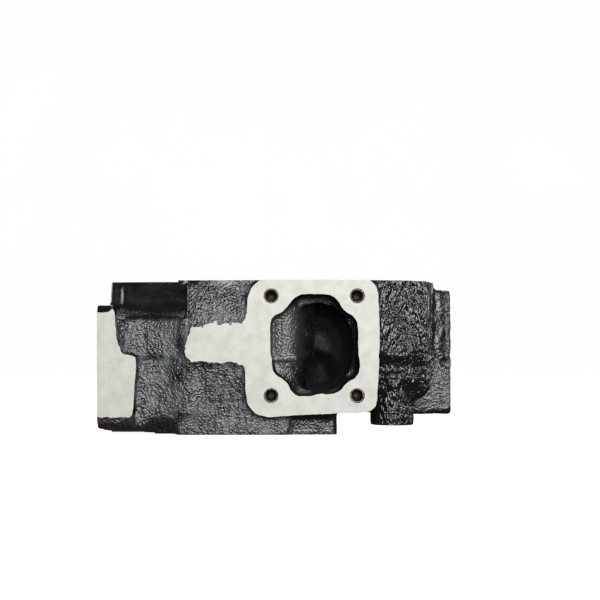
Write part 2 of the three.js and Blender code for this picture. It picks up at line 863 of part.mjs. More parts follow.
// A pressed steel cup that closes a core hole, open side out, turned about Z with its rim on top.
function corePlug() {
  const { radius, wall, depth } = CORE_PLUG;
  return turned(
    [
      [0, -depth],
      [radius - 1.5, -depth],
      [radius, -depth + 1.5],
      [radius, 0],
      [radius - wall, 0],
      [radius - wall, -depth + wall + 1],
      [radius - wall - 1.5, -depth + wall],
      [0, -depth + wall],
    ],
    SIDES.boss,
  );
}

// A screwed plug with a hexagon socket, turned about Z with its socket on top.
function galleryPlug() {
  const { radius, depth, socket } = GALLERY_PLUG;
  const blank = turned(
    [
      [0, -depth],
      [radius - 0.8, -depth],
      [radius, -depth + 0.8],
      [radius, -0.8],
      [radius - 0.8, 0],
      [0, 0],
    ],
    SIDES.bore,
  );
  return blank.subtract(post(0, 0, [-5, OVER], socket, 6));
}

// ---------------------------------------------------------------- assembly

const head = new THREE.Group();

function addMesh(parent, name, made, material) {
  const mesh = new THREE.Mesh(geometryOf(made), MATERIALS[material]);
  mesh.name = name;
  parent.add(mesh);
  return mesh;
}

addMesh(head, "head_casting", headCasting(), "casting");

const guide = guideSolid();
const springSeat = springSeatSolid();
const stemSeal = stemSealSolid();
const spring = springSolid();
const retainer = retainerSolid();

for (const v of VALVES) {
  const station = new THREE.Group();
  station.position.set(v.x, v.y, 0);
  addMesh(station, `${v.name}_valve`, valveSolid(v.headRadius), "valveSteel");
  addMesh(station, `${v.name}_seat`, seatSolid(v.headRadius), "seatAlloy");
  addMesh(station, `${v.name}_guide`, guide, "guideIron");
  addMesh(station, `${v.name}_spring_seat`, springSeat, "hardenedSteel");
  addMesh(station, `${v.name}_stem_seal`, stemSeal, "sealRubber");
  addMesh(station, `${v.name}_spring`, spring, "springSteel");
  addMesh(station, `${v.name}_retainer`, retainer, "hardenedSteel");
  addMesh(station, `${v.name}_collet_a`, colletSolid("a"), "hardenedSteel");
  addMesh(station, `${v.name}_collet_b`, colletSolid("b"), "hardenedSteel");
  head.add(station);
}

const sleeve = addMesh(head, "injector_sleeve", injectorSleeve(), "copper");
sleeve.position.set(CYLINDER.x, CYLINDER.y, 0);

for (const place of guidePinPlaces()) {
  const pin = addMesh(head, place.name, guidePin(), "hardenedSteel");
  pin.position.set(place.x, place.y, 0);
}

// The rear plugs face +Y, and the side plug faces +X.
for (const place of REAR_PLUGS) {
  const plug = addMesh(head, place.name, corePlug(), "platedSteel");
  plug.rotation.x = -Math.PI / 2;
  plug.position.set(place.x, REAR_Y - CORE_PLUG.inset, place.z);
}
for (const place of GALLERY_PLUGS) {
  const plug = addMesh(head, place.name, galleryPlug(), "platedSteel");
  plug.rotation.x = -Math.PI / 2;
  plug.position.set(place.x, REAR_Y - 2, place.z);
}
const sidePlug = addMesh(head, SIDE_PLUG.name, corePlug(), "platedSteel");
sidePlug.rotation.y = Math.PI / 2;
sidePlug.position.set(SIDE_PLUG.wallX - CORE_PLUG.inset, SIDE_PLUG.y, SIDE_PLUG.z);

export default head;
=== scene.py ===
"""A cylinder head for a water-cooled diesel engine, dressed for a studio picture.

The casting is made as a foundry and a machine shop would make it: a pattern with a machining
allowance and no holes is cast with rounded edges and a gritty skin, its faces are milled, and
its holes are bored. The valve gear and the pressed-in pieces are turned, coiled and fitted.

Sizes are written in millimetres and meshes are made in metres, in the CAD model's frame:
X runs from the exhaust face to the push rods, Y from the intake face to the rear, and Z up
from the fire deck to the rocker deck.
"""

import logging
import math
from collections.abc import Iterable
from dataclasses import dataclass, field
from enum import Enum

import bmesh
import bpy
from mathutils import Matrix, Vector, noise


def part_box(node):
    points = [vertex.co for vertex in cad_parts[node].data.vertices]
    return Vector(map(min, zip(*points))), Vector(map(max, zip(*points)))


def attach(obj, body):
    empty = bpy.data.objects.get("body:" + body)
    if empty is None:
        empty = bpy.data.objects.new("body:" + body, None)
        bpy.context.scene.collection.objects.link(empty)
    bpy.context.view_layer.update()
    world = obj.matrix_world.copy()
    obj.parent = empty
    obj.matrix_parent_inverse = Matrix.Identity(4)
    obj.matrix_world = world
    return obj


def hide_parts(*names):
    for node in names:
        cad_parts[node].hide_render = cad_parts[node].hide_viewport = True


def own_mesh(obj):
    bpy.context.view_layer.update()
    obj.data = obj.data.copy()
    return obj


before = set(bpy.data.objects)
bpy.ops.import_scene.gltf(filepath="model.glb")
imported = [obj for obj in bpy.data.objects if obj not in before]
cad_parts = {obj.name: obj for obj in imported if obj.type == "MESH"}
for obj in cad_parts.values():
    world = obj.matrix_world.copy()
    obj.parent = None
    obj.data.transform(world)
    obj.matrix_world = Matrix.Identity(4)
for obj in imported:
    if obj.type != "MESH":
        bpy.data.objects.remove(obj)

log = logging.getLogger("cylinder_head")

MM = 0.001
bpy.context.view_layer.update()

DECK_Z = 118.5
FRONT_Y = -88.0
REAR_Y = 88.0
LEFT_X = -138.5
RIGHT_X = 138.5
OVER = 3.0  # how far a cutter runs past the face that it cuts

# The colour sockets of a Mix node, whose names its number and vector sockets share.
MIX_FACTOR, MIX_A, MIX_B, MIX_RESULT = 0, 6, 7, 2

Point = tuple[float, float, float]
Box = tuple[Point, Point]
Profile = list[tuple[float, float]]
Object = bpy.types.Object
Solid = bmesh.types.BMesh
Tree = bpy.types.NodeTree
Socket = bpy.types.NodeSocket


class Facing(Enum):
    """The way that a milled face, or the mouth of a hole, looks."""

    FRONT = (0, -1, 0)
    REAR = (0, 1, 0)
    LEFT = (-1, 0, 0)
    RIGHT = (1, 0, 0)
    UP = (0, 0, 1)
    DOWN = (0, 0, -1)

    def placed(self, at: Point) -> Matrix:
        """Turns a piece made along +Z to look this way, and moves it to a place.

        Args:
            at: where the piece's origin goes, in millimetres.

        Returns:
            The matrix, in metres.
        """
        turn = Vector((0, 0, 1)).rotation_difference(Vector(self.value))
        return Matrix.Translation(Vector(at) * MM) @ turn.to_matrix().to_4x4()

    def put(self, bm: Solid, at: Point) -> Solid:
        """Turns a mesh made along +Z to look this way, moves it to a place and returns it."""
        bmesh.ops.transform(bm, matrix=self.placed(at), verts=bm.verts)
        return bm


class CastFace(Enum):
    """What has been done to a face of the casting, as its material slot's number."""

    PAINTED = 0
    MILLED = 1
    BORED = 2
    COUNTERSUNK = 3


# ------------------------------------------------------------------------------ materials


def linear(colour: str) -> tuple[float, float, float, float]:
    """Turns an sRGB colour to linear.

    Args:
        colour: the colour as a hex value, such as "#1b1c1e".

    Returns:
        Linear red, green and blue, and an alpha of one.
    """
    parts = [int(colour[i : i + 2], 16) / 255 for i in (1, 3, 5)]
    red, green, blue = (p / 12.92 if p <= 0.04045 else ((p + 0.055) / 1.055) ** 2.4 for p in parts)
    return red, green, blue, 1.0


def add_node(
    tree: Tree, kind: str, inputs: dict | None = None, **settings: object
) -> bpy.types.Node:
    """Adds one node to a tree.

    Args:
        tree: the tree.
        kind: the node's type.
        inputs: what each input gets, by its name or number: a socket to link, or a value.
        settings: the node's own properties.

    Returns:
        The node.
    """
    node = tree.nodes.new(kind)
    for name, value in settings.items():
        setattr(node, name, value)
    for name, value in (inputs or {}).items():
        if isinstance(value, Socket):
            tree.links.new(value, node.inputs[name])
        else:
            node.inputs[name].default_value = value
    return node


def per_metre(size: float) -> float:
    """Returns the texture scale that gives features of a size in millimetres."""
    return 1 / (size * MM)


@dataclass(frozen=True)
class Finish:
    """A surface finish: its name, the shader's plain values, and the two colours it varies between.

    bump_mm and grain_mm are the height and the size of its finest marks, which are drawn as
    coarse as they need to show. A stretch below 1 draws them out along that axis.
    """

    name: str
    dark: str
    light: str
    metallic: float
    roughness: float
    roughness_spread: float
    grain_mm: float
    bump_mm: float
    stretch: Point = (1, 1, 1)
    blotch_mm: float = 14.0
    ior: float = 1.5

    def material(self) -> bpy.types.Material:
        """Makes this finish's material the first time that it is asked for.

        Returns:
            The material.
        """
        made = bpy.data.materials.get(self.name)
        if made is None:
            made = bpy.data.materials.new(self.name)
            made.use_nodes = True
            made.node_tree.nodes.clear()
            self.build(made.node_tree)
        return made

    def build(self, tree: Tree) -> None:
        """Fills the material's tree with the plain finish: blotches, grain and a fine bump.

        Args:
            tree: the material's empty node tree.
        """
        place = add_node(tree, "ShaderNodeTexCoord").outputs["Object"]
        blotch = self.noise(tree, place, self.blotch_mm, 3)
        grain = self.noise(tree, self.drawn(tree, place, self.stretch), self.grain_mm, 4)
        both = add_node(tree, "ShaderNodeMath", {0: blotch, 1: grain}, operation="ADD").outputs[0]
        colour = self.ramp(tree, both, 0.75, 1.25, linear(self.dark), linear(self.light))
        rough = self.span(tree, grain, self.roughness, self.roughness_spread)
        bump = self.bump(tree, grain, self.bump_mm)
        self.surface(tree, colour, rough, bump)

    def drawn(self, tree: Tree, place: Socket, stretch: Point) -> Socket:
        """Draws a pattern out, as a brush, a tool or a run does.

        Args:
            tree: the material's tree.
            place: the object's coordinates.
            stretch: the scale along X, Y and Z, below 1 for an axis that is drawn out.

        Returns:
            The coordinates to draw the pattern on.
        """
        inputs = {"Vector": place, "Scale": stretch}
        return add_node(tree, "ShaderNodeMapping", inputs).outputs["Vector"]

    def noise(self, tree: Tree, vector: Socket, size: float, detail: float) -> Socket:
        """Adds a noise whose features have a real size.

        Args:
            tree: the material's tree.
            vector: the coordinates.
            size: the features' size in millimetres.
            detail: how many finer layers are added.

        Returns:
            The noise, about a half.
        """
        scale = per_metre(size)
        inputs = {"Vector": vector, "Scale": scale, "Detail": detail, "Roughness": 0.6}
        return add_node(tree, "ShaderNodeTexNoise", inputs).outputs["Fac"]

    def step(self, tree: Tree, value: Socket, low: float, high: float) -> Socket:
        """Turns a value into one that is 0 below low and 1 above high.

        Args:
            tree: the material's tree.
            value: the value.
            low: where it starts to rise.
            high: where it has risen.

        Returns:
            The value from 0 to 1.
        """
        inputs = {"Value": value, "From Min": low, "From Max": high}
        return add_node(tree, "ShaderNodeMapRange", inputs).outputs["Result"]

    def ramp(
        self, tree: Tree, factor: Socket, low: float, high: float, dark: tuple, light: tuple
    ) -> Socket:
        """Mixes two colours as a value runs from low to high.

        Args:
            tree: the material's tree.
            factor: the value.
            low: where the colour is all dark.
            high: where it is all light.
            dark: the linear colour at low.
            light: the linear colour at high.

        Returns:
            The mixed colour.
        """
        return self.mixed(tree, self.step(tree, factor, low, high), dark, light)

    def mixed(
        self, tree: Tree, share: Socket, first: Socket | tuple, second: Socket | tuple
    ) -> Socket:
        """Mixes two colours.

        Args:
            tree: the material's tree.
            share: how much of the second colour shows.
            first: the first colour, as a socket or a linear value.
            second: the second colour.

        Returns:
            The mixed colour.
        """
        inputs = {MIX_FACTOR: share, MIX_A: first, MIX_B: second}
        return add_node(tree, "ShaderNodeMix", inputs, data_type="RGBA").outputs[MIX_RESULT]

    def span(self, tree: Tree, factor: Socket, middle: float, spread: float) -> Socket:
        """Spreads a noise about a middle value.

        Args:
            tree: the material's tree.
            factor: the noise, about a half.
            middle: the value in the middle.
            spread: how far it strays each way.

        Returns:
            The value.
        """
        inputs = {
            "Value": factor,
            "From Min": 0.3,
            "From Max": 0.7,
            "To Min": middle - spread,
            "To Max": middle + spread,
        }
        return add_node(tree, "ShaderNodeMapRange", inputs).outputs["Result"]

    def bump(self, tree: Tree, height: Socket, depth: float, under: Socket | None = None) -> Socket:
        """Adds a bump of a real height.

        Args:
            tree: the material's tree.
            height: the height, from zero to one.
            depth: what one stands for, in millimetres.
            under: the normal of the bump that this one lies on.

        Returns:
            The bumped normal.
        """
        inputs = {"Height": height, "Strength": 1.0, "Distance": depth * MM}
        if under is not None:
            inputs["Normal"] = under
        return add_node(tree, "ShaderNodeBump", inputs).outputs["Normal"]

    def surface(self, tree: Tree, colour: Socket, rough: Socket, normal: Socket) -> None:
        """Adds the shader and the output.

        Args:
            tree: the material's tree.
            colour: the base colour.
            rough: the roughness.
            normal: the bumped normal.
        """
        inputs = {
            "Base Color": colour,
            "Metallic": self.metallic,
            "Roughness": rough,
            "IOR": self.ior,
            "Normal": normal,
        }
        shader = add_node(tree, "ShaderNodeBsdfPrincipled", inputs)
        add_node(tree, "ShaderNodeOutputMaterial", {"Surface": shader.outputs["BSDF"]})


@dataclass(frozen=True)
class PaintedCasting(Finish):
    """Sand-cast iron under a thin coat of semi-gloss black enamel, brushed on.

    The sand's grains show through as grit that sparkles where it catches the light, drawn coarser
    than real sand so that it shows. On the long front wall the coat is thin and has dulled to
    grey, and that grey is painted lighter to stand in for the sheen of the front light there. At
    the push rod end the coat is thick, glossy, and has run and wrinkled down the wall. Each box,
    in millimetres, is where the coat is so: thin with painted sheen, painted with light on the
    port's pillar, painted with shade and the brown floor's reflection at the foot, run, painted
    with shade in the port's depths, smooth on the slope, or chipped along the port's parting line.
    """

    grit_mm: float = 1.6
    grit_height_mm: float = 0.95
    smooth_share: float = 0.3
    smooth_box: Box = ((-150.0, -90.0, 89.5), (-70.5, -50.0, 130.0))
    smooth_fade: float = 2.5
    # Painted sheen: the thin, dull coat's grey is made lighter to stand in for the front light's
    # sheen on the front wall and the lug.
    wear_and_sheen: str = "#666b6e"
    wear_and_sheen_fade: float = 1.6
    wear_and_sheen_roughness: float = 0.1
    wear_and_sheen_boxes: tuple = (
        ((-140, -120, 13), (-69, -60, 88)),
        ((-77, -120, 1), (-68, -60, 16)),
        ((-71, -120, 1), (-20, -60, 113)),
        ((-20, -120, 0), (10, -60, 24)),
        ((119, -60, 20), (150, 0, 57)),
    )
    # Painted light: a warm grey laid over the port's dividing pillar, where the front light falls
    # on it.
    pillar_light: str = "#4a4945"
    pillar_light_box: Box = ((-16.0, -78.0, 57.0), (13.0, -54.0, 104.0))
    pillar_light_fade: float = 8.0
    # Painted shade: a dark brown at the foot of the left pad, for its shaded underside and the
    # brown floor's reflection in it.
    foot_shade: str = "#3b342e"
    foot_shade_box: Box = ((-150.0, -120.0, -5.0), (-77.0, -70.0, 12.0))
    bare: str = "#8f8c86"
    brush_mm: float = 4.0
    brushing: Point = (1, 1, 0.2)
    running: Point = (1, 1, 0.4)
    run_width_mm: float = 2.2
    run_height_mm: float = 2.2
    run_gloss: float = -0.09
    run_box: Box = ((77.0, -120.0, 8.0), (117.5, -60.0, 200.0))
    flash_box: Box = ((-9.0, -76.0, 57.3), (13.0, -58.0, 62.0))
    # Painted shade: near black deep in the port and on its roof and floor, where little light
    # reaches.
    port_shade: str = "#050505"
    port_shade_roughness: float = 0.34
    port_shade_fade: float = 3.5
    port_shade_boxes: tuple = (
        ((-45, -54, 15), (66, 40, 112)),
        ((-12, -83, 101), (66, -40, 112)),
        ((-12, -83, 15), (66, -40, 36)),
    )

    def build(self, tree: Tree) -> None:
        """Fills the material's tree.

        Args:
            tree: the material's empty node tree.
        """
        place = add_node(tree, "ShaderNodeTexCoord").outputs["Object"]
        grain = self.noise(tree, place, self.grit_mm, 0.6)
        blotch = self.noise(tree, place, self.blotch_mm, 3)
        brushed = self.noise(tree, self.drawn(tree, place, self.brushing), self.brush_mm, 2)
        axes = add_node(tree, "ShaderNodeSeparateXYZ", {"Vector": place})

        # Painted sheen: where the coat is thin and dull, it gets a lighter grey that also stands in
        # for the front light's sheen there.
        wear_and_sheen_area = self.inside_any(tree, axes, self.wear_and_sheen_boxes, self.wear_and_sheen_fade)
        thin = self.maths(tree, "MULTIPLY", wear_and_sheen_area, self.step(tree, brushed, 0.36, 0.64))
        thin = self.maths(tree, "MULTIPLY", thin, self.step(tree, blotch, 0.34, 0.6))
        colour = self.ramp(tree, blotch, 0.38, 0.62, linear(self.dark), linear(self.light))
        colour = self.mixed(tree, thin, colour, linear(self.wear_and_sheen))
        # Painted shade: the left pad's foot is darkened to brown, where it is shaded and takes the
        # brown floor's reflection.
        foot_shade = self.inside(tree, axes, self.foot_shade_box)
        foot_shade = self.maths(tree, "MULTIPLY", foot_shade, self.step(tree, grain, 0.4, 0.6))
        colour = self.mixed(tree, foot_shade, colour, linear(self.foot_shade))
        # Painted light: the pillar in the port is lightened where the front light falls on it.
        pillar_light = self.inside(tree, axes, self.pillar_light_box, self.pillar_light_fade)
        colour = self.mixed(tree, pillar_light, colour, linear(self.pillar_light))
        # Painted shade: the port's depths, roof and floor are darkened to near black.
        port_shade = self.inside_any(tree, axes, self.port_shade_boxes, self.port_shade_fade)
        colour = self.mixed(tree, port_shade, colour, linear(self.port_shade))
        chips = self.inside(tree, axes, self.flash_box)
        chips = self.maths(tree, "MULTIPLY", chips, self.step(tree, grain, 0.45, 0.54))
        colour = self.mixed(tree, chips, colour, linear(self.bare))

        rough = self.span(tree, blotch, self.roughness, self.roughness_spread)
        rough = self.maths(tree, "MULTIPLY_ADD", thin, self.wear_and_sheen_roughness, rough)
        rough = self.maths(tree, "MULTIPLY_ADD", port_shade, self.port_shade_roughness, rough)
        thick = self.inside(tree, axes, self.run_box)
        rough = self.maths(tree, "MULTIPLY_ADD", thick, self.run_gloss, rough)

        runs = self.noise(tree, self.drawn(tree, place, self.running), self.run_width_mm, 1)
        runs = self.maths(tree, "SUBTRACT", runs, 0.5)
        runs = self.maths(tree, "MULTIPLY", runs, thick)
        lower = self.bump(tree, runs, self.run_height_mm)
        patches = self.maths(tree, "MAXIMUM", wear_and_sheen_area, self.step(tree, blotch, 0.46, 0.6))
        patches = self.maths(tree, "MAXIMUM", patches, pillar_light)
        smooth = self.inside(tree, axes, self.smooth_box, self.smooth_fade)
        patches = self.maths(tree, "SUBTRACT", patches, smooth)
        patches = self.maths(tree, "MAXIMUM", patches, 0.0)
        share = self.maths(
            tree, "MULTIPLY_ADD", patches, 1 - self.smooth_share, self.smooth_share
        )
        grit = self.maths(tree, "MULTIPLY", self.maths(tree, "SUBTRACT", grain, 0.5), share)
        normal = self.bump(tree, grit, self.grit_height_mm, lower)
        self.surface(tree, colour, rough, normal)

    def maths(self, tree: Tree, operation: str, *values: Socket | float) -> Socket:
        """Returns the result of one sum on two or three values."""
        inputs = dict(enumerate(values))
        return add_node(tree, "ShaderNodeMath", inputs, operation=operation).outputs[0]

    def inside(self, tree: Tree, axes: bpy.types.Node, box: Box, soft: float = 0.8) -> Socket:
        """Marks a box.

        Args:
            tree: the material's tree.
            axes: the node that gives X, Y and Z.
            box: the box's lowest and highest corners, in millimetres.
            soft: how far the edge fades each way, in millimetres.

        Returns:
            1 inside the box and 0 outside.
        """
        share = 1.0
        for axis, low, high in zip("XYZ", *box):
            for start, end in ((low - soft, low + soft), (high + soft, high - soft)):
                side = self.step(tree, axes.outputs[axis], start * MM, end * MM)
                share = self.maths(tree, "MULTIPLY", side, share)
        return share

    def inside_any(
        self, tree: Tree, axes: bpy.types.Node, boxes: tuple, soft: float = 0.8
    ) -> Socket:
        """Marks several boxes.

        Args:
            tree: the material's tree.
            axes: the node that gives X, Y and Z.
            boxes: the boxes, as inside takes them.
            soft: how far the edges fade each way, in millimetres.

        Returns:
            1 inside any of the boxes and 0 outside them all.
        """
        share = 0.0
        for box in boxes:
            share = self.maths(tree, "MAXIMUM", self.inside(tree, axes, box, soft), share)
        return share


@dataclass(frozen=True)
class TurnedMetal(Finish):
    """Turned or ground metal, whose tool marks are fine rings round an upright axis."""

    ring_mm: float = 0.9
    stretch: Point = (0.05, 0.05, 1)

    def build(self, tree: Tree) -> None:
        """Fills the material's tree: rings up the piece, and faint blotches of handling.

        Args:
            tree: the material's empty node tree.
        """
        place = add_node(tree, "ShaderNodeTexCoord").outputs["Object"]
        rings = self.noise(tree, self.drawn(tree, place, self.stretch), self.ring_mm, 3)
        blotch = self.noise(tree, place, self.blotch_mm, 3)
        colour = self.ramp(tree, blotch, 0.35, 0.65, linear(self.dark), linear(self.light))
        rough = self.span(tree, rings, self.roughness, self.roughness_spread)
        self.surface(tree, colour, rough, self.bump(tree, rings, self.bump_mm))


# Black enamel over sand-cast iron: deep black, with a broad soft gloss from the grit under it.
BLACK_ENAMEL = PaintedCasting(
    "black_enamel_on_sand_cast_iron", "#0d0d0e", "#171819", 0.0, 0.3, 0.06, 1.5, 0.3, ior=1.62
)
# Grey iron fresh from the face mill: pale, matt, with a fine mottle from its graphite.
MILLED_IRON = Finish(
    "face_milled_grey_iron", "#b3b2ab", "#cac9c2", 0.2, 0.55, 0.08, 0.9, 0.02, (1, 1, 0.35), 9.0
)
# Grey iron from the countersink: a bright narrow cone that mirrors what is round it.
COUNTERSUNK_IRON = Finish(
    "countersunk_grey_iron", "#8d877c", "#aaa498", 1.0, 0.28, 0.06, 0.8, 0.02, blotch_mm=5
)
# Grey iron from the drill or the boring bar: darker, since it sees little light, and oily.
BORED_IRON = Finish("bored_grey_iron", "#23211f", "#34322f", 0.6, 0.42, 0.1, 0.7, 0.03)
# Ground valve steel: bright and smooth, with a faint heat tint.
GROUND_STEEL = TurnedMetal(
    "ground_valve_steel", "#9d9a94", "#bdbbb6", 1.0, 0.24, 0.06, 0.8, 0.006, blotch_mm=9
)
# Turned seat alloy: a hard cobalt-grey ring with a lapped cone.
SEAT_ALLOY = TurnedMetal("turned_seat_alloy", "#8b8781", "#a5a19a", 1.0, 0.3, 0.08, 0.7, 0.008)
# Turned iron of the valve guides: dull brownish grey.
GUIDE_IRON = TurnedMetal("turned_guide_iron", "#5e5851", "#7b746b", 0.9, 0.45, 0.08, 0.8, 0.012)
# Quenched steel of the retainers, collets, washers and pins: dark grey under oil.
QUENCHED_STEEL = TurnedMetal("quenched_steel", "#4d4d50", "#6b6b6e", 1.0, 0.34, 0.08, 0.8, 0.01)
# Shot-peened spring wire, blued and oiled: dimpled and almost black.
SPRING_WIRE = Finish("peened_spring_wire", "#26282d", "#3c3f46", 0.9, 0.36, 0.08, 0.6, 0.02)
# Drawn copper of the injector's sleeve: salmon, dulled to brown in patches.
DRAWN_COPPER = TurnedMetal("drawn_copper", "#8c4f33", "#c4805c", 1.0, 0.32, 0.1, 0.7, 0.01)
# Moulded fluorocarbon rubber of the stem seals: matt dark green.
SEAL_RUBBER = Finish("moulded_seal_rubber", "#1f3a28", "#2c4d37", 0.0, 0.62, 0.08, 0.5, 0.01)
# Zinc-plated pressed steel of the plugs: pale, faintly yellow, with a fine spangle.
ZINC_PLATE = Finish("zinc_plated_steel", "#a3a19a", "#c2c0b9", 1.0, 0.34, 0.1, 1.2, 0.01)


@dataclass(frozen=True)
class LitAcrylic(Finish):
    """The studio's sweep: matt white acrylic, lit from behind, which still takes a soft shadow."""

    glow: float = 0.93

    def surface(self, tree: Tree, colour: Socket, rough: Socket, normal: Socket) -> None:
        """Adds the shader, which glows, and the output.

        Args:
            tree: the material's tree.
            colour: the base colour.
            rough: the roughness.
            normal: the bumped normal.
        """
        inputs = {
            "Base Color": colour,
            "Roughness": rough,
            "Normal": normal,
            "Emission Color": linear("#ffffff"),
            "Emission Strength": self.glow,
        }
        shader = add_node(tree, "ShaderNodeBsdfPrincipled", inputs)
        add_node(tree, "ShaderNodeOutputMaterial", {"Surface": shader.outputs["BSDF"]})


# Matt white acrylic, lit from behind: a floor with no horizon and a faint contact shadow.
LIT_ACRYLIC = LitAcrylic(
    "lit_white_acrylic", "#9a9a98", "#a2a2a0", 0.0, 0.9, 0.02, 3.0, 0.01, blotch_mm=300
)


# ------------------------------------------------------------------------------ mesh helpers


def turned(profile: Profile, sides: int = 64, closed: bool = False) -> Solid:
    """Spins a profile round the Z axis.

    Args:
        profile: radius and height pairs, in millimetres. An open one starts and ends at radius
            zero, and a closed one joins its end to its start.
        sides: how many facets go round.
        closed: whether the profile is a loop, for a ring.

    Returns:
        The solid, in metres.
    """
    bm = bmesh.new()
    points = [bm.verts.new((r * MM, 0, z * MM)) for r, z in profile]
    ends = points[1:] + points[:1] if closed else points[1:]
    for a, b in zip(points, ends):
        bm.edges.new((a, b))
    bmesh.ops.spin(
        bm,
        geom=bm.verts[:] + bm.edges[:],
        cent=(0, 0, 0),
        axis=(0, 0, 1),
        dvec=(0, 0, 0),
        angle=2 * math.pi,
        steps=sides,
        use_merge=True,
        use_normal_flip=False,
        use_duplicate=False,
    )
    bmesh.ops.remove_doubles(bm, verts=bm.verts, dist=1e-7)
    bmesh.ops.recalc_face_normals(bm, faces=bm.faces)
    return bm


def moved(bm: Solid, at: Point) -> Solid:
    """Moves a mesh by a distance in millimetres along each axis.

    Args:
        bm: the mesh.
        at: the distances.

    Returns:
        The same mesh.
    """
    bmesh.ops.translate(bm, verts=bm.verts, vec=Vector(at) * MM)
    return bm


def marked(bm: Solid, face: CastFace) -> Solid:
    """Gives every face of a cutter what it leaves on the casting.

    Args:
        bm: the cutter.
        face: what its faces leave.

    Returns:
        The same mesh.
    """
    for made in bm.faces:
        made.material_index = face.value
    return bm


def soften(bm: Solid, width: float, sharper_than: float = 25, steps: int = 2) -> None:
    """Rounds every edge that is sharper than an angle.

    Args:
        bm: the mesh.
        width: the round's width in millimetres.
        sharper_than: the angle between two faces, in degrees, above which their edge is rounded.
        steps: how many facets each round gets.
    """
    limit = math.radians(sharper_than)
    edges = [e for e in bm.edges if e.is_manifold and e.calc_face_angle() > limit]
    bmesh.ops.bevel(
        bm,
        geom=edges,
        offset=width * MM,
        offset_type="OFFSET",
        segments=steps,
        profile=0.5,
        affect="EDGES",
        clamp_overlap=True,
        material=-1,
    )


def gathered(parts: Iterable[Solid]) -> Solid:
    """Puts several meshes into one, and frees them.

    Args:
        parts: the meshes.

    Returns:
        The mesh that holds them all.
    """
    whole = bmesh.new()
    for part in parts:
        mesh = bpy.data.meshes.new("part")
        part.to_mesh(mesh)
        part.free()
        whole.from_mesh(mesh)
        bpy.data.meshes.remove(mesh)
    return whole


def as_object(name: str, bm: Solid) -> Object:
    """Turns a mesh into an object in the scene, and frees it.

    Args:
        name: the object's name.
        bm: the mesh.

    Returns:
        The object, at the origin.
    """
    mesh = bpy.data.meshes.new(name)
    bm.to_mesh(mesh)
    bm.free()
    made = bpy.data.objects.new(name, mesh)
    bpy.context.scene.collection.objects.link(made)
    return made


def apply_modifier(obj: Object, kind: str, **settings: object) -> None:
    """Adds a modifier to an object and takes its result as the object's mesh.

    Args:
        obj: the object.
        kind: the modifier's type.
        settings: the modifier's properties.
    """
    modifier = obj.modifiers.new(kind.lower(), kind)
    for name, value in settings.items():
        setattr(modifier, name, value)
    bpy.context.view_layer.update()
    graph = bpy.context.evaluated_depsgraph_get()
    made = bpy.data.meshes.new_from_object(obj.evaluated_get(graph))
    obj.modifiers.clear()
    old = obj.data
    obj.data = made
    bpy.data.meshes.remove(old)


def cut(obj: Object, cutter: Solid, operation: str = "DIFFERENCE") -> None:
    """Cuts an object with a closed mesh, whose material numbers go onto the cut faces.

    Args:
        obj: the object.
        cutter: the mesh, which is freed.
        operation: the Boolean modifier's operation.
    """
    tool = as_object("cutter", cutter)
    for slot in obj.data.materials:
        tool.data.materials.append(slot)
    apply_modifier(
        obj,
        "BOOLEAN",
        object=tool,
        operation=operation,
        solver="MANIFOLD",
        material_mode="INDEX",
    )
    mesh = tool.data
    bpy.data.objects.remove(tool)
    bpy.data.meshes.remove(mesh)


def fitted(
    obj: Object, finish: Finish, node: str, body: str, sharp: float = 32
) -> Object:
    """Finishes a piece and fits it in place of its CAD node.

    Args:
        obj: the piece.
        finish: its finish, unless it has materials already.
        node: the CAD node that it stands for.
        body: the body that it rides on.
        sharp: the angle above which an edge is drawn sharp, in degrees.

    Returns:
        The piece.
    """
    if not obj.data.materials:
        obj.data.materials.append(finish.material())
    obj.data.shade_smooth()
    obj.data.set_sharp_from_angle(angle=math.radians(sharp))
    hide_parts(node)
    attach(obj, body)
    log.info("%s: %d faces, on %s", obj.name, len(obj.data.polygons), body)
    return obj


# ------------------------------------------------------------------------------ holes


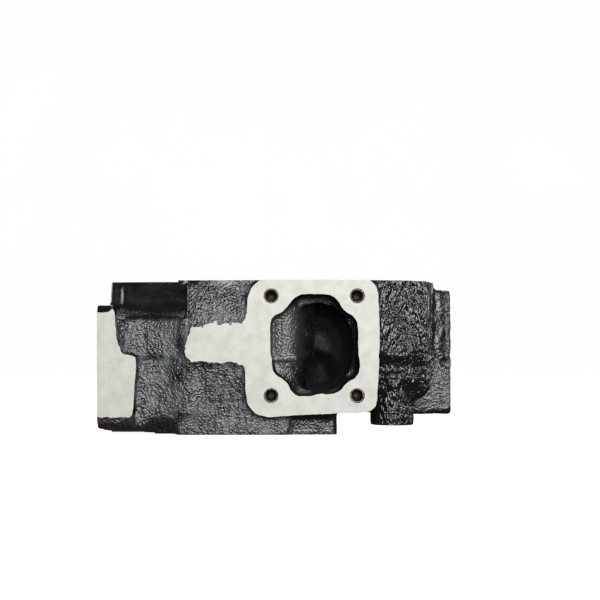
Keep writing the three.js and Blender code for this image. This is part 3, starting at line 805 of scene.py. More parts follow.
@dataclass(frozen=True)
class Bore:
    """A drilled or bored hole, from its mouth inwards, in millimetres.

    steps are radius and depth pairs, each depth measured from the mouth's face. plug_depth is how
    deep the pattern is filled for it, and None fills it as deep as the hole goes.
    """

    mouth: Point
    facing: Facing
    steps: tuple[tuple[float, float], ...]
    chamfer: float = 0.0
    drill_point: bool = False
    plug_depth: float | None = None
    sides: int = 48
    drill_angle: float = 31.0
    plug_margin: float = 0.8

    def cutter(self) -> Solid:
        """Makes the solid that cuts the hole and its countersink.

        Returns:
            The solid, in its place.
        """
        first = self.steps[0][0]
        wide = first + self.chamfer + (OVER if self.chamfer else 0)
        profile: Profile = [(0, OVER), (wide, OVER)]
        if self.chamfer:
            profile.append((first, -self.chamfer))
        previous = None
        for radius, depth in self.steps:
            if previous is not None:
                profile.append((radius, -previous))
            profile.append((radius, -depth))
            previous = depth
        radius, depth = self.steps[-1]
        tip = radius * math.tan(math.radians(self.drill_angle)) if self.drill_point else 0
        profile.append((0, -depth - tip))
        bm = marked(turned(profile[::-1], self.sides), CastFace.BORED)
        for made in bm.faces:
            shallow = made.calc_center_median().z > -self.chamfer * MM
            if self.chamfer and shallow and 0.6 < abs(made.normal.z) < 0.8:
                made.material_index = CastFace.COUNTERSUNK.value
        return self.facing.put(bm, self.mouth)

    def plug(self, allowance: float) -> Solid:
        """Makes the solid that fills the hole in the pattern.

        Args:
            allowance: how far the pattern stands proud of the hole's face, in millimetres.

        Returns:
            The solid, in its place.
        """
        reach = self.steps[-1][1] + 1 if self.plug_depth is None else self.plug_depth
        profile: Profile = [(0, allowance)]
        previous = -allowance
        for radius, depth in self.steps:
            if previous >= reach:
                break
            wide = radius + self.plug_margin
            profile += [(wide, -previous), (wide, -min(depth, reach))]
            previous = depth
        profile.append((0, profile[-1][1]))
        return self.facing.put(turned(profile[::-1], 24), self.mouth)


def drilled(mouths: Iterable[Point], *hole: object, **more: object) -> list[Bore]:
    """Returns the same hole at several mouths, from what Bore takes after its mouth."""
    return [Bore(mouth, *hole, **more) for mouth in mouths]


@dataclass(frozen=True)
class SpotFace:
    """A round seat milled into a cast boss, which the pattern leaves proud, in millimetres.

    boss is the radius of the post that makes the boss proud, and root is how far the post stands
    into the casting.
    """

    at: Point
    facing: Facing
    radius: float
    boss: float = 0.0
    proud: float = 1.5
    root: float = 6.0

    def cutter(self) -> Solid:
        """Makes the cutter that mills the seat.

        Returns:
            The cutter, in its place.
        """
        reach = self.proud + 4
        bm = turned([(0, 0), (self.radius, 0), (self.radius, reach), (0, reach)], 48)
        return self.facing.put(marked(bm, CastFace.MILLED), self.at)

    def lift(self) -> Solid | None:
        """Makes the post that makes the boss proud.

        Returns:
            The post, in its place, or None where the casting has metal enough already.
        """
        if not self.boss:
            return None
        low, high = -self.root, self.proud
        outline = [(0, low), (self.boss, low), (self.boss, high), (0, high)]
        return self.facing.put(turned(outline, 32), self.at)


# ------------------------------------------------------------------------------ the casting


@dataclass
class ValvePlace:
    """Where one valve stands, and the radius of its head, in millimetres."""

    name: str
    x: float
    y: float
    head: float

    @property
    def body(self) -> str:
        """The CAD body that the valve moves with."""
        return f"{self.name}_valve_body"

    @property
    def joint(self) -> str:
        """The joint that lifts the valve."""
        return f"{self.name}_lift"


def valve_places() -> list[ValvePlace]:
    """Reads the four valves' places from the CAD model's valves.

    Returns:
        The places.
    """
    places = []
    for name in ("intake_front", "intake_rear", "exhaust_front", "exhaust_rear"):
        low, high = (Vector(corner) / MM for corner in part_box(f"{name}_valve"))
        middle = (low + high) / 2
        places.append(ValvePlace(name, middle.x, middle.y, (high.x - low.x) / 2))
    return places


@dataclass
class HeadCasting:
    """The cast and machined iron body, in millimetres.

    A hole's sizes are its steps of radius and depth, as Bore takes them. allowance is the metal
    left on the pattern's faces to mill away. The passes round the skin's edges and melt its
    folds, and slope_share is how much of the waves and the sand is left on the left slope.
    """

    valves: list[ValvePlace]
    voxel: float = 1.52
    allowance: float = 3.0
    edge_passes: int = 7
    melt_passes: int = 60
    wave_mm: float = 17.0
    wave_height: float = 0.45
    sand_mm: float = 3.4
    sand_height: float = 0.34
    slope_share: float = 0.35
    cylinder: tuple[float, float] = (-47.0, 0.0)
    head_bolts: tuple = ((-98, -46), (-98, 46), (-47, -68), (-47, 68), (4, -46), (4, 46))
    push_rods: tuple = ((86.5, -58, 6.8), (86.5, -14, 14.0))
    intake_holes: tuple = ((-6.1, 30.3), (-6.1, 106.1), (59.4, 30.3), (59.4, 106.1))
    exhaust_holes: tuple = ((-35, 21), (-35, 79), (35, 21), (35, 79))
    cover_holes: tuple = (
        (-117, -40), (-117, 66), (-72, 74), (-22, 74), (52, 72), (110, 66), (108, -30),
    )  # fmt: skip
    pedestal_holes: tuple = ((24, -4), (24, 34))
    rear_cores: tuple = ((-82, 42), (-14, 42), (88, 84))
    side_core: Point = (127.0, 14.0, 84.0)
    galleries: tuple = ((-72.5, 88), (33, 40))
    outlet: tuple[float, float] = (33.0, 84.0)
    outlet_screws: float = 25.0
    flange_tap: tuple = ((4.5, 18),)
    cover_tap: tuple = ((3.4, 16),)
    rocker_tap: tuple = ((4.4, 18),)
    bolt_hole: tuple = ((9.5, 6), (7.5, DECK_Z + OVER))
    push_rod_hole: tuple = ((9.5, DECK_Z + OVER),)
    coolant_hole: tuple = ((4.5, 24),)
    coolant_radius: float = 66.0
    guide_hole: tuple = ((7.65, 34.0),)
    pin_hole: tuple = ((4.65, 12.1),)
    pin_reach: float = 22.0
    sleeve_seat: float = 72.0
    sleeve_hole: tuple = ((11.65, 60.1), (5.0, 72.0 + OVER))
    core_hole: tuple = ((15.15, 21.0),)
    gallery_hole: tuple = ((6.35, 21.0),)
    outlet_hole: tuple = ((15.0, 42.0),)
    parting: float = 58.9
    pocket_floor: float = 64.0
    coolant_angles: tuple = (18, 72, 108, 162, 198, 252, 288, 342)
    bores: list[Bore] = field(default_factory=list)
    spots: list[SpotFace] = field(default_factory=list)

    def __post_init__(self) -> None:
        """Lists the holes and the spot faces."""
        self.bores = [*self.flange_bores(), *self.deck_bores(), *self.valve_bores(), *self.cores()]
        self.spots = self.spot_faces()

    def flange_bores(self) -> list[Bore]:
        """Places the tapped holes of the three flanges.

        Returns:
            The holes.
        """
        intake = ((x, FRONT_Y, z) for x, z in self.intake_holes)
        exhaust = ((LEFT_X, y, z) for y, z in self.exhaust_holes)
        x, z = self.outlet
        screws = ((x + side * self.outlet_screws, REAR_Y, z) for side in (-1, 1))
        return [
            *drilled(intake, Facing.FRONT, self.flange_tap, 1.3, True),
            *drilled(exhaust, Facing.LEFT, self.flange_tap, 1.3, True),
            *drilled(screws, Facing.REAR, self.cover_tap, 0.9, True),
        ]

    def deck_bores(self) -> list[Bore]:
        """Places the holes in the rocker deck and the fire deck, the valves' apart.

        Returns:
            The holes.
        """
        bolts = ((x, y, DECK_Z) for x, y in self.head_bolts)
        cover = ((x, y, DECK_Z) for x, y in self.cover_holes)
        rockers = ((x, y, DECK_Z) for x, y in self.pedestal_holes)
        rod = (Facing.UP, self.push_rod_hole, 0.8)
        rods = [
            Bore((x, y, DECK_Z), *rod, plug_depth=DECK_Z - bottom + 1)
            for x, y, bottom in self.push_rods
        ]
        x, y = self.cylinder
        reach = self.coolant_radius
        angles = (math.radians(angle) for angle in self.coolant_angles)
        coolant = ((x + reach * math.cos(a), y + reach * math.sin(a), 0) for a in angles)
        return [
            *drilled(bolts, Facing.UP, self.bolt_hole, 0.5),
            *rods,
            *drilled(cover, Facing.UP, self.cover_tap, 0.9, True),
            *drilled(rockers, Facing.UP, self.rocker_tap, 1.1, True),
            *drilled(coolant, Facing.DOWN, self.coolant_hole, 0.4, sides=32),
        ]

    def valve_bores(self) -> list[Bore]:
        """Places the bores for the seats, guides, bridge pins and injector sleeve.

        Returns:
            The bores.
        """
        made = []
        for v in self.valves:
            seat = ((v.head + 1.65, 8.6), (v.head - 3.6, 24.0))
            made.append(Bore((v.x, v.y, 0), Facing.DOWN, seat, 0.4, plug_depth=9, sides=64))
            floor = (v.x, v.y, self.pocket_floor)
            made.append(Bore(floor, Facing.UP, self.guide_hole, plug_depth=22))
        x, y = self.cylinder
        pins = ((x + side * self.pin_reach, y, self.pocket_floor) for side in (-1, 1))
        sleeve = Bore((x, y, self.sleeve_seat), Facing.UP, self.sleeve_hole, 0.4, sides=64)
        return [*made, *drilled(pins, Facing.UP, self.pin_hole, 0.4), sleeve]

    def cores(self) -> list[Bore]:
        """Places the core plug, gallery plug and water outlet bores.

        Returns:
            The bores.
        """
        rear = ((x, REAR_Y, z) for x, z in self.rear_cores)
        galleries = ((x, REAR_Y - 1, z) for x, z in self.galleries)
        outlet = (self.outlet[0], REAR_Y, self.outlet[1])
        return [
            *drilled(rear, Facing.REAR, self.core_hole, 0.8, sides=64),
            Bore(self.side_core, Facing.RIGHT, self.core_hole, 0.8, sides=64),
            *drilled(galleries, Facing.REAR, self.gallery_hole, 0.6, True),
            Bore(outlet, Facing.REAR, self.outlet_hole, 1.0, sides=64),
        ]

    def spot_faces(self) -> list[SpotFace]:
        """Places the seats that are milled below the big faces.

        Returns:
            The seats.
        """
        springs = [(v.x, v.y, self.pocket_floor) for v in self.valves]
        galleries = [(x, REAR_Y - 1, z) for x, z in self.galleries]
        return [
            *(SpotFace(at, Facing.UP, 16.6) for at in springs),
            SpotFace((*self.cylinder, self.sleeve_seat), Facing.UP, 15.6, boss=14.4),
            SpotFace(self.side_core, Facing.RIGHT, 21.5, boss=19.6),
            *(SpotFace(at, Facing.REAR, 11.8, boss=10.6) for at in galleries),
            *(SpotFace(at, Facing.DOWN, 20.5, boss=15.0) for at in self.push_rods),
        ]

    def pattern(self) -> Object:
        """Makes the pattern: the CAD casting with its holes filled and metal left to mill away.

        Returns:
            The pattern.
        """
        bm = bmesh.new()
        bm.from_mesh(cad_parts["head_casting"].data)
        bmesh.ops.remove_doubles(bm, verts=bm.verts, dist=1e-6)
        sides = (
            (1, FRONT_Y, Facing.FRONT),
            (1, REAR_Y, Facing.REAR),
            (0, LEFT_X, Facing.LEFT),
            (2, DECK_Z, Facing.UP),
            (2, 0.0, Facing.DOWN),
        )
        near = 0.01 * MM
        for axis, level, facing in sides:
            on_face = [v for v in bm.verts if abs(v.co[axis] - level * MM) < near]
            step = Vector(facing.value) * self.allowance * MM
            bmesh.ops.translate(bm, verts=on_face, vec=step)
        skin = as_object("pattern", bm)
        cut(skin, self.cast_edges())
        bm = bmesh.new()
        bm.from_mesh(skin.data)
        old = skin.data
        bpy.data.objects.remove(skin)
        bpy.data.meshes.remove(old)
        fills = [bore.plug(self.allowance) for bore in self.bores]
        lifts = [post for post in (spot.lift() for spot in self.spots) if post is not None]
        extras = [self.groove_fill(), self.barrel(), self.parting_flash(), *self.swellings()]
        whole = gathered([bm, *fills, *lifts, *extras])
        return as_object("cast_head", whole)

    def groove_fill(self) -> Solid:
        """Returns the ring that fills the fire ring's groove in the pattern."""
        ring = turned([(56, -3), (60, -3), (60, 1.5), (56, 1.5)], 64, closed=True)
        return moved(ring, (*self.cylinder, 0))

    def prism(self, outline: Profile, along: tuple[float, float], facing: Facing) -> Solid:
        """Extrudes an outline.

        Args:
            outline: the corners' other two coordinates in millimetres, in the order X, Y, Z.
            along: where the prism starts and ends, in millimetres.
            facing: RIGHT for one that runs along X, REAR along Y, and UP along Z.

        Returns:
            The prism.
        """
        bm = bmesh.new()
        start, end = (value * MM for value in along)
        axis = Vector(facing.value)
        order = {Facing.RIGHT: (2, 0, 1), Facing.REAR: (0, 2, 1), Facing.UP: (0, 1, 2)}[facing]
        corners = [
            bm.verts.new([(a * MM, b * MM, start)[k] for k in order]) for a, b in outline
        ]
        made = bmesh.ops.extrude_face_region(bm, geom=[bm.faces.new(corners)])
        new = [v for v in made["geom"] if isinstance(v, bmesh.types.BMVert)]
        bmesh.ops.translate(bm, verts=new, vec=axis * (end - start))
        bmesh.ops.recalc_face_normals(bm, faces=bm.faces)
        return bm

    def cast_edges(self) -> Solid:
        """Makes what is cut off the CAD casting to give the pattern its cast edges.

        foot and heel round the left pad's foot, scoop hollows the wall beside it, brow and cheek
        trim the pad's top and side, slope leans the left block back, flat sinks the wall round
        the tongue, and lean chamfers the front column's top.

        Returns:
            The cutters, as one mesh.
        """
        low = FRONT_Y - 2 * self.allowance
        foot = [
            (low, -9), (low, 21), (FRONT_Y + 0.4, 14.3), (FRONT_Y + 1.6, 7), (FRONT_Y + 4, 3.4),
            (-60, 2.2), (-45, 0), (-45, -9),
        ]  # fmt: skip
        scoop = [(low, -9), (low, 13), (-85, 11.5), (-82.5, 5), (-80, 0), (-80, -9)]
        brow = [
            (low, 89), (FRONT_Y, 93), (FRONT_Y + 1.5, 95), (FRONT_Y + 1.5, 112), (low, 112),
        ]  # fmt: skip
        slope = [(-110, 89.3), (-82, 89.3), (-66, 100), (-57, 119), (-57, 140), (-110, 140)]
        heel = [(-150, -9), (-150, 8), (LEFT_X, 6), (-137, 4), (-135.5, 3.2), (-135.5, -9)]
        cheek = [
            (-127.4, 97), (-127.2, 92), (-123.8, 68), (-119.6, 67), (-118.8, 61.6), (-103, 60.2),
            (-103, 97),
        ]  # fmt: skip
        flat = [(-82, 44), (-25.5, 44), (-25.5, 98), (-82, 98)]
        lean = bmesh.new()
        for x, y, z in (
            (-78, -89, 106), (-29, -89, 115), (-78, -75, 119), (-29, -86, 119), (-78, -110, 106),
            (-29, -110, 115), (-78, -110, 140), (-29, -110, 140), (-78, -75, 140), (-29, -86, 140),
        ):  # fmt: skip
            lean.verts.new(Vector((x, y, z)) * MM)
        bmesh.ops.convex_hull(lean, input=lean.verts)
        return gathered(
            [
                self.prism(foot, (-149, -97), Facing.RIGHT),
                self.prism(scoop, (-96.9, -77.5), Facing.RIGHT),
                self.prism(slope, (-127.5, -70.5), Facing.RIGHT),
                self.prism(brow, (-149, -121), Facing.RIGHT),
                self.prism(heel, (-78, 60), Facing.REAR),
                self.prism(cheek, (low, FRONT_Y + 0.9), Facing.REAR),
                self.prism(flat, (low, FRONT_Y + 1.2), Facing.REAR),
                lean,
            ]
        )

    def swellings(self) -> list[Solid]:
        """Makes the metal that the CAD casting lacks: soft folds, a fuller belly and pillar.

        Returns:
            The solids.
        """
        lip = [(-70, 90), (-86.3, 90), (-86.3, 96.5), (-83, 99.8), (-70, 99.8)]
        ramp = [(-102, -78), (-102, -81.6), (-84, -83), (-72, -85.6), (-64, -86), (-64, -78)]
        boss = moved(turned([(0, 5.0), (16.6, 5.0), (17.6, 40), (0, 40)], 48), (88.2, -60, 0))
        pillar = turned([(0, 59), (1, 59), (1, 106), (0, 106)], 48)
        bmesh.ops.scale(pillar, vec=(30, 17, 1), verts=pillar.verts)
        moved(pillar, (-2, -48, 0))
        cheek = [(-130, -78), (-130, -87.2), (-124, -87), (-112, -82), (-106, -81.5), (-106, -78)]
        shoulder = [(-55, 80), (-81.8, 80), (-81.8, 89.1), (-66, 99.8), (-58, 116), (-55, 116)]
        column = [(116, -36), (116, -47.6), (130, -46.8), (134.5, -43), (137, -36)]
        return [
            self.prism(lip, (-148, -126.5), Facing.RIGHT),
            self.prism(ramp, (14, 89), Facing.UP),
            self.prism(cheek, (61, 89), Facing.UP),
            self.prism(shoulder, (-123, -70), Facing.RIGHT),
            self.prism(column, (58, 111), Facing.UP),
            self.belly(),
            boss,
            pillar,
        ]

    def belly(self) -> Solid:
        """Makes the push rods' belly: three outlines crossed, one for each way of looking.

        Returns:
            The solid.
        """
        side = [
            (-50, 63), (-79.5, 63), (-79.5, 60.5), (-74, 52), (-74.6, 49), (-77.4, 45.5),
            (-77.6, 43.5), (-75.6, 36), (-73, 30), (-68, 25.5), (-50, 25.5),
        ]  # fmt: skip
        front = [
            (60, 25), (100, 25), (108, 27), (114.5, 32), (118, 40), (118.8, 50), (118.5, 63.5),
            (60, 63.5),
        ]  # fmt: skip
        plan = [
            (60, -95), (106, -95), (110, -79), (115, -75), (118, -69), (119, -62), (119, -50),
            (60, -50),
        ]  # fmt: skip
        solid = as_object("belly", self.prism(side, (60, 120), Facing.RIGHT))
        cut(solid, self.prism(front, (-100, -40), Facing.REAR), "INTERSECT")
        cut(solid, self.prism(plan, (20, 70), Facing.UP), "INTERSECT")
        made = bmesh.new()
        made.from_mesh(solid.data)
        bpy.data.objects.remove(solid)
        return made

    def barrel(self) -> Solid:
        """Makes the belly of the front column, which stands just proud of the milled plane.

        Returns:
            The solid.
        """
        outline = [
            (-18, 88), (-28, 87.2), (-45, 87), (-50.5, 89), (-58, 85.4), (-67.5, 83.8),
            (-71.8, 75.5), (-74.2, 66.5), (-73, 58.8), (-68, 54.2), (-41, 54), (-31, 52.8),
            (-18, 52),
        ]  # fmt: skip
        bm = self.prism(outline, (-80, FRONT_Y + 1.0), Facing.REAR)
        front = min(bm.faces, key=lambda made: made.calc_center_median().y)
        for inset, rise in ((2, 1.2), (6, 1.6)):
            bmesh.ops.inset_region(
                bm, faces=[front], thickness=inset * MM, depth=rise * MM, use_even_offset=True
            )
        return bm

    def parting_flash(self) -> Solid:
        """Returns the thin fin that the port's core left round the dividing pillar."""
        fin = turned([(0, -0.9), (20.6, -0.9), (20.6, 0.9), (0, 0.9)], 48)
        return moved(fin, (3, -50, self.parting))

    def cast(self, obj: Object) -> None:
        """Joins the pattern into one skin and rounds its edges, as sand and paint do.

        Args:
            obj: the pattern.
        """
        apply_modifier(obj, "REMESH", mode="VOXEL", voxel_size=self.voxel * MM, adaptivity=0)
        apply_modifier(obj, "SMOOTH", factor=0.5, iterations=self.edge_passes)
        group = obj.vertex_groups.new(name="melted")
        for vertex in obj.data.vertices:
            share = self.melting(vertex.co / MM)
            if share > 0:
                group.add([vertex.index], share, "REPLACE")
        apply_modifier(
            obj, "SMOOTH", factor=0.5, iterations=self.melt_passes, vertex_group=group.name
        )

    def melting(self, at: Vector) -> float:
        """Says how far the skin's folds are melted into each other at a place.

        Args:
            at: the place, in millimetres.

        Returns:
            1 on the front wall between the left pad and the column, falling to 0 round it.
        """
        over_pad = at.x < -107 and at.z < 66
        if at.y > -40 or over_pad:
            return 0.0
        left, low, high, fade = -119, 6, 97, 3.0
        # Below the tongue, the melted wall runs on under the column.
        right = -72 + 14 * max(0.0, min(1.0, (55 - at.z) / fade))
        sides = (at.x - left, right - at.x, at.z - low, high - at.z)
        return max(0.0, min(1.0, *(side / fade for side in sides)))

    def weather(self, obj: Object) -> None:
        """Gives the skin its uneven surface: cast waves, sand grit, and runs in the coat.

        Args:
            obj: the casting.
        """
        bm = bmesh.new()
        bm.from_mesh(obj.data)
        bm.normal_update()
        moves = [(v, v.normal.copy() * self.relief(v.co / MM)) for v in bm.verts]
        for vertex, move in moves:
            vertex.co += move * MM
        bm.to_mesh(obj.data)
        bm.free()

    def relief(self, at: Vector) -> float:
        """Works out how far the skin stands out at a place.

        Cast waves and sand are everywhere. The push rod end has runs in its paint, the front wall
        has a dent over the pad, and the tongue's upper and lower edges are ragged.

        Args:
            at: the place, in millimetres.

        Returns:
            The height in millimetres.
        """
        on_slope = at.z > 89 and at.x < -70 and -86 < at.y < -35
        on_run_wall = at.x > 76 and at.z > 58 and at.y < 20
        on_belly = at.x > 76 and 24 < at.z < 52 and at.y < -60
        by_dent = at.y < -70 and -110 < at.x < -78
        by_tongue = at.y < -84 and -76 < at.x < -28 and 50 < at.z < 92

        waves = self.wave_height * noise.noise(at / self.wave_mm)
        grit = self.sand_height * noise.noise(at / self.sand_mm + Vector((7, 3, 1)))
        if on_slope:
            return self.slope_share * (waves + grit)
        runs = 0.0
        if on_run_wall:
            drawn = Vector((at.x / 2.9, at.y / 2.9, at.z / 13.0))
            edge = max(0.0, min(1.0, (at.x - 76) / 3, (at.z - 58) / 6))
            runs = 0.6 * edge * noise.noise(drawn)
            if at.z < 66:
                runs += 1.6 * noise.noise(Vector((at.x / 5.0, 2.0, at.z / 7.0)))
        elif on_belly:
            runs = 1.1 * noise.noise(Vector((at.x / 4.0, at.y / 5.0, at.z / 8.0)))
        dent = 0.0
        if by_dent:
            across = (at.x + 95) / 12
            up = (at.z - 57.4) / (1.6 if at.z > 57.4 else 5.0)
            dent = -1.9 * math.exp(-(across**4) - up * up)
        ragged = 0.0
        if by_tongue:
            ragged = (0.8 if at.z > 76 else 0.35) * noise.noise(at / 2.6 + Vector((1, 9, 4)))
        return waves + grit + runs + dent + ragged

    def mill(self, obj: Object) -> None:
        """Mills the big faces, all left by one box, and the spot faces.

        Args:
            obj: the casting.
        """
        low = Vector((LEFT_X, FRONT_Y, 0))
        high = Vector((RIGHT_X, REAR_Y, DECK_Z))
        bm = bmesh.new()
        bmesh.ops.create_cube(bm, size=MM)
        bmesh.ops.scale(bm, vec=high - low, verts=bm.verts)
        bmesh.ops.translate(bm, verts=bm.verts, vec=(low + high) / 2 * MM)
        cut(obj, marked(bm, CastFace.MILLED), "INTERSECT")
        cut(obj, gathered(spot.cutter() for spot in self.spots))

    def bore(self, obj: Object) -> None:
        """Bores every hole and cuts the fire ring's groove.

        Args:
            obj: the casting.
        """
        groove = turned([(57, -3), (59, -3), (59, 0.8), (57, 0.8)], 96, closed=True)
        moved(marked(groove, CastFace.MILLED), (*self.cylinder, 0))
        cut(obj, gathered([groove, *(bore.cutter() for bore in self.bores)]))

    def build(self) -> Object:
        """Makes the casting and fits it.

        Returns:
            The finished casting.
        """
        obj = self.pattern()
        self.cast(obj)
        self.weather(obj)
        for finish in (BLACK_ENAMEL, MILLED_IRON, BORED_IRON, COUNTERSUNK_IRON):
            obj.data.materials.append(finish.material())
        self.mill(obj)
        self.bore(obj)
        fitted(obj, BLACK_ENAMEL, "head_casting", "head", 40)
        self.sharpen(obj)
        return obj

    def sharpen(self, obj: Object) -> None:
        """Draws every edge between two finishes sharp, so that a milled face shades flat.

        Args:
            obj: the casting.
        """
        bm = bmesh.new()
        bm.from_mesh(obj.data)
        for edge in bm.edges:
            if len({face.material_index for face in edge.link_faces}) > 1:
                edge.smooth = False
        bm.to_mesh(obj.data)
        bm.free()
        obj.data.calc_loop_triangles()
        log.info("casting: %d triangles", len(obj.data.loop_triangles))


# ------------------------------------------------------------------------------ valve gear


@dataclass
class ValveStation:
    """One valve with all that it slides in and is sprung by, in millimetres."""

    place: ValvePlace
    stem: float = 4.5
    groove: float = 3.7
    groove_z: float = 105.0
    tip_z: float = 115.0
    head_z: float = 1.0
    guide: float = 7.5
    guide_bore: float = 4.75
    guide_span: tuple[float, float] = (38.0, 78.0)
    floor: float = 64.1
    spring_foot: float = 66.7
    spring_length: float = 36.0
    spring_radius: float = 12.6
    wire: float = 2.1
    lift: float = 11.0

    def placed(self, name: str, bm: Solid, width: float = 0.25) -> Object:
        """Softens a piece's edges, moves it onto the valve's axis and makes it an object.

        Args:
            name: the piece's name, without the valve's.
            bm: the piece, about the Z axis.
            width: the width of its softened edges.

        Returns:
            The object.
        """
        if width:
            soften(bm, width)
        moved(bm, (self.place.x, self.place.y, 0))
        return as_object(f"{self.place.name}_{name}", bm)

    def fit(self, obj: Object, finish: Finish, node: str, moves: bool) -> None:
        """Fits a piece in place of its node, on the valve or on the head.

        Args:
            obj: the piece.
            finish: its finish.
            node: the node's name, without the valve's.
            moves: whether it moves with the valve.
        """
        body = self.place.body if moves else "head"
        fitted(obj, finish, f"{self.place.name}_{node}", body)

    def build(self) -> None:
        """Makes every piece of the station."""
        self.poppet()
        self.seat()
        self.valve_guide()
        self.washer()
        self.seal()
        self.spring()
        self.retainer()
        self.collets()

    def poppet(self) -> None:
        """Turns the valve: a dished head, a tulip, a ground stem and a collet groove."""
        head, stem, low = self.place.head, self.stem, self.head_z
        throat = head - 3
        tulip = [
            (stem + (throat - stem) * (1 - t) ** 2.6, low + 5 + 13 * t)
            for t in (step / 10 for step in range(11))
        ]
        profile: Profile = [
            (0, low + 0.5), (head * 0.55, low + 0.4), (head * 0.62, low), (head, low),
            (head, low + 2), *tulip, (stem, self.groove_z - 1.2),
            (self.groove, self.groove_z - 0.6), (self.groove, self.groove_z + 0.6),
            (stem, self.groove_z + 1.2), (stem, self.tip_z - 0.8), (stem - 0.8, self.tip_z),
            (0, self.tip_z),
        ]  # fmt: skip
        obj = self.placed("poppet_valve", turned(profile), 0.2)
        self.fit(obj, GROUND_STEEL, "valve", True)

    def seat(self) -> None:
        """Turns the seat insert, with the cone that the valve closes on."""
        head = self.place.head
        profile: Profile = [
            (head + 1.5, 0.5), (head + 1.5, 8.5), (head - 3.6, 8.5), (head - 2.8, 6.1),
            (head + 0.4, 2.9), (head + 0.4, 0.5),
        ]  # fmt: skip
        obj = self.placed("seat_insert", turned(profile, closed=True))
        self.fit(obj, SEAT_ALLOY, "seat", False)

    def valve_guide(self) -> None:
        """Turns the guide, whose lower end tapers in the port."""
        low, high = self.guide_span
        profile: Profile = [
            (self.guide - 1.2, low), (self.guide, low + 4), (self.guide, high - 1),
            (self.guide - 1, high), (self.guide_bore, high), (self.guide_bore, low),
        ]  # fmt: skip
        obj = self.placed("stem_guide", turned(profile, closed=True), 0.2)
        self.fit(obj, GUIDE_IRON, "guide", False)

    def washer(self) -> None:
        """Turns the washer that the spring stands on, with the lip that centres it."""
        top = self.spring_foot - 0.1
        lip = self.spring_radius - self.wire - 0.3
        profile: Profile = [
            (16, self.floor), (16, top), (lip, top), (lip, top + 1.6),
            (self.guide + 2.4, top + 1.6), (self.guide + 2.4, top - 1),
            (self.guide + 0.3, top - 1), (self.guide + 0.3, self.floor),
        ]  # fmt: skip
        obj = self.placed("spring_washer", turned(profile, closed=True), 0.2)
        self.fit(obj, QUENCHED_STEEL, "spring_seat", False)

    def seal(self) -> None:
        """Moulds the stem seal, a cap whose lip is held by a garter."""
        top = self.guide_span[1]
        bead = [
            (self.guide + 1.35 + 0.35 * math.cos(a), top - 3.2 + 0.9 * math.sin(a))
            for a in (math.radians(d) for d in range(-90, 91, 30))
        ]
        profile: Profile = [
            (self.guide + 1.7, top - 8), (self.guide + 1.7, top - 4.6), *bead,
            (self.guide + 1.7, top - 1.8), (self.guide + 1.7, top + 0.5),
            (self.guide + 0.2, top + 3), (self.guide - 0.6, top + 6), (self.guide_bore, top + 6),
            (self.guide_bore, top + 0.1), (self.guide + 0.15, top + 0.1),
            (self.guide + 0.15, top - 8),
        ]  # fmt: skip
        obj = self.placed("oil_seal", turned(profile, closed=True), 0.15)
        self.fit(obj, SEAL_RUBBER, "stem_seal", False)

    def spring(self) -> None:
        """Coils the spring: a close turn, an open coil and a close turn, with its ends ground."""
        ground = 0.6
        close_rise = 2 * self.wire * 0.85
        open_turns = 3
        open_rise = (self.spring_length + 2 * ground - 2 * self.wire - 2 * close_rise) / open_turns
        bm = bmesh.new()
        section = bmesh.ops.create_circle(bm, cap_ends=False, radius=self.wire * MM, segments=16)
        bmesh.ops.rotate(
            bm, verts=bm.verts, cent=(0, 0, 0), matrix=Matrix.Rotation(math.pi / 2, 3, "X")
        )
        start = Vector((self.spring_radius, 0, self.spring_foot + self.wire - ground)) * MM
        bmesh.ops.translate(bm, verts=section["verts"], vec=start)
        ring = bm.verts[:] + bm.edges[:]
        for turns, rise in ((1, close_rise), (open_turns, open_rise), (1, close_rise)):
            steps = 40 * turns
            result = bmesh.ops.spin(
                bm,
                geom=ring,
                cent=(0, 0, 0),
                axis=(0, 0, 1),
                dvec=(0, 0, rise * turns * MM / steps),
                angle=2 * math.pi * turns,
                steps=steps,
                use_merge=False,
                use_normal_flip=False,
                use_duplicate=False,
            )
            ring = result["geom_last"]
        bmesh.ops.remove_doubles(bm, verts=bm.verts, dist=1e-7)
        open_edges = [e for e in bm.edges if e.is_boundary]
        bmesh.ops.holes_fill(bm, edges=open_edges, sides=0)
        bmesh.ops.recalc_face_normals(bm, faces=bm.faces)
        foot = self.spring_foot * MM
        for level, outward in ((foot, -1), (foot + self.spring_length * MM, 1)):
            flat = bmesh.ops.bisect_plane(
                bm,
                geom=bm.verts[:] + bm.edges[:] + bm.faces[:],
                plane_co=(0, 0, level),
                plane_no=(0, 0, outward),
                clear_outer=True,
            )
            rims = [e for e in flat["geom_cut"] if isinstance(e, bmesh.types.BMEdge)]
            bmesh.ops.holes_fill(bm, edges=rims, sides=0)
        obj = self.placed("coil_spring", bm, 0)
        self.fit(obj, SPRING_WIRE, "spring", False)
        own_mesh(obj)

    def retainer(self) -> None:
        """Turns the retainer, whose cone grips the collets."""
        seat = self.spring_foot + self.spring_length + 0.1
        profile: Profile = [
            (10.1, 99.5), (10.1, seat), (15.5, seat), (15.5, seat + 2.6), (10.8, seat + 3.6),
            (9.2, 110), (7.183, 110), (5.433, 99.5),
        ]  # fmt: skip
        obj = self.placed("spring_retainer", turned(profile, closed=True), 0.3)
        self.fit(obj, QUENCHED_STEEL, "retainer", True)

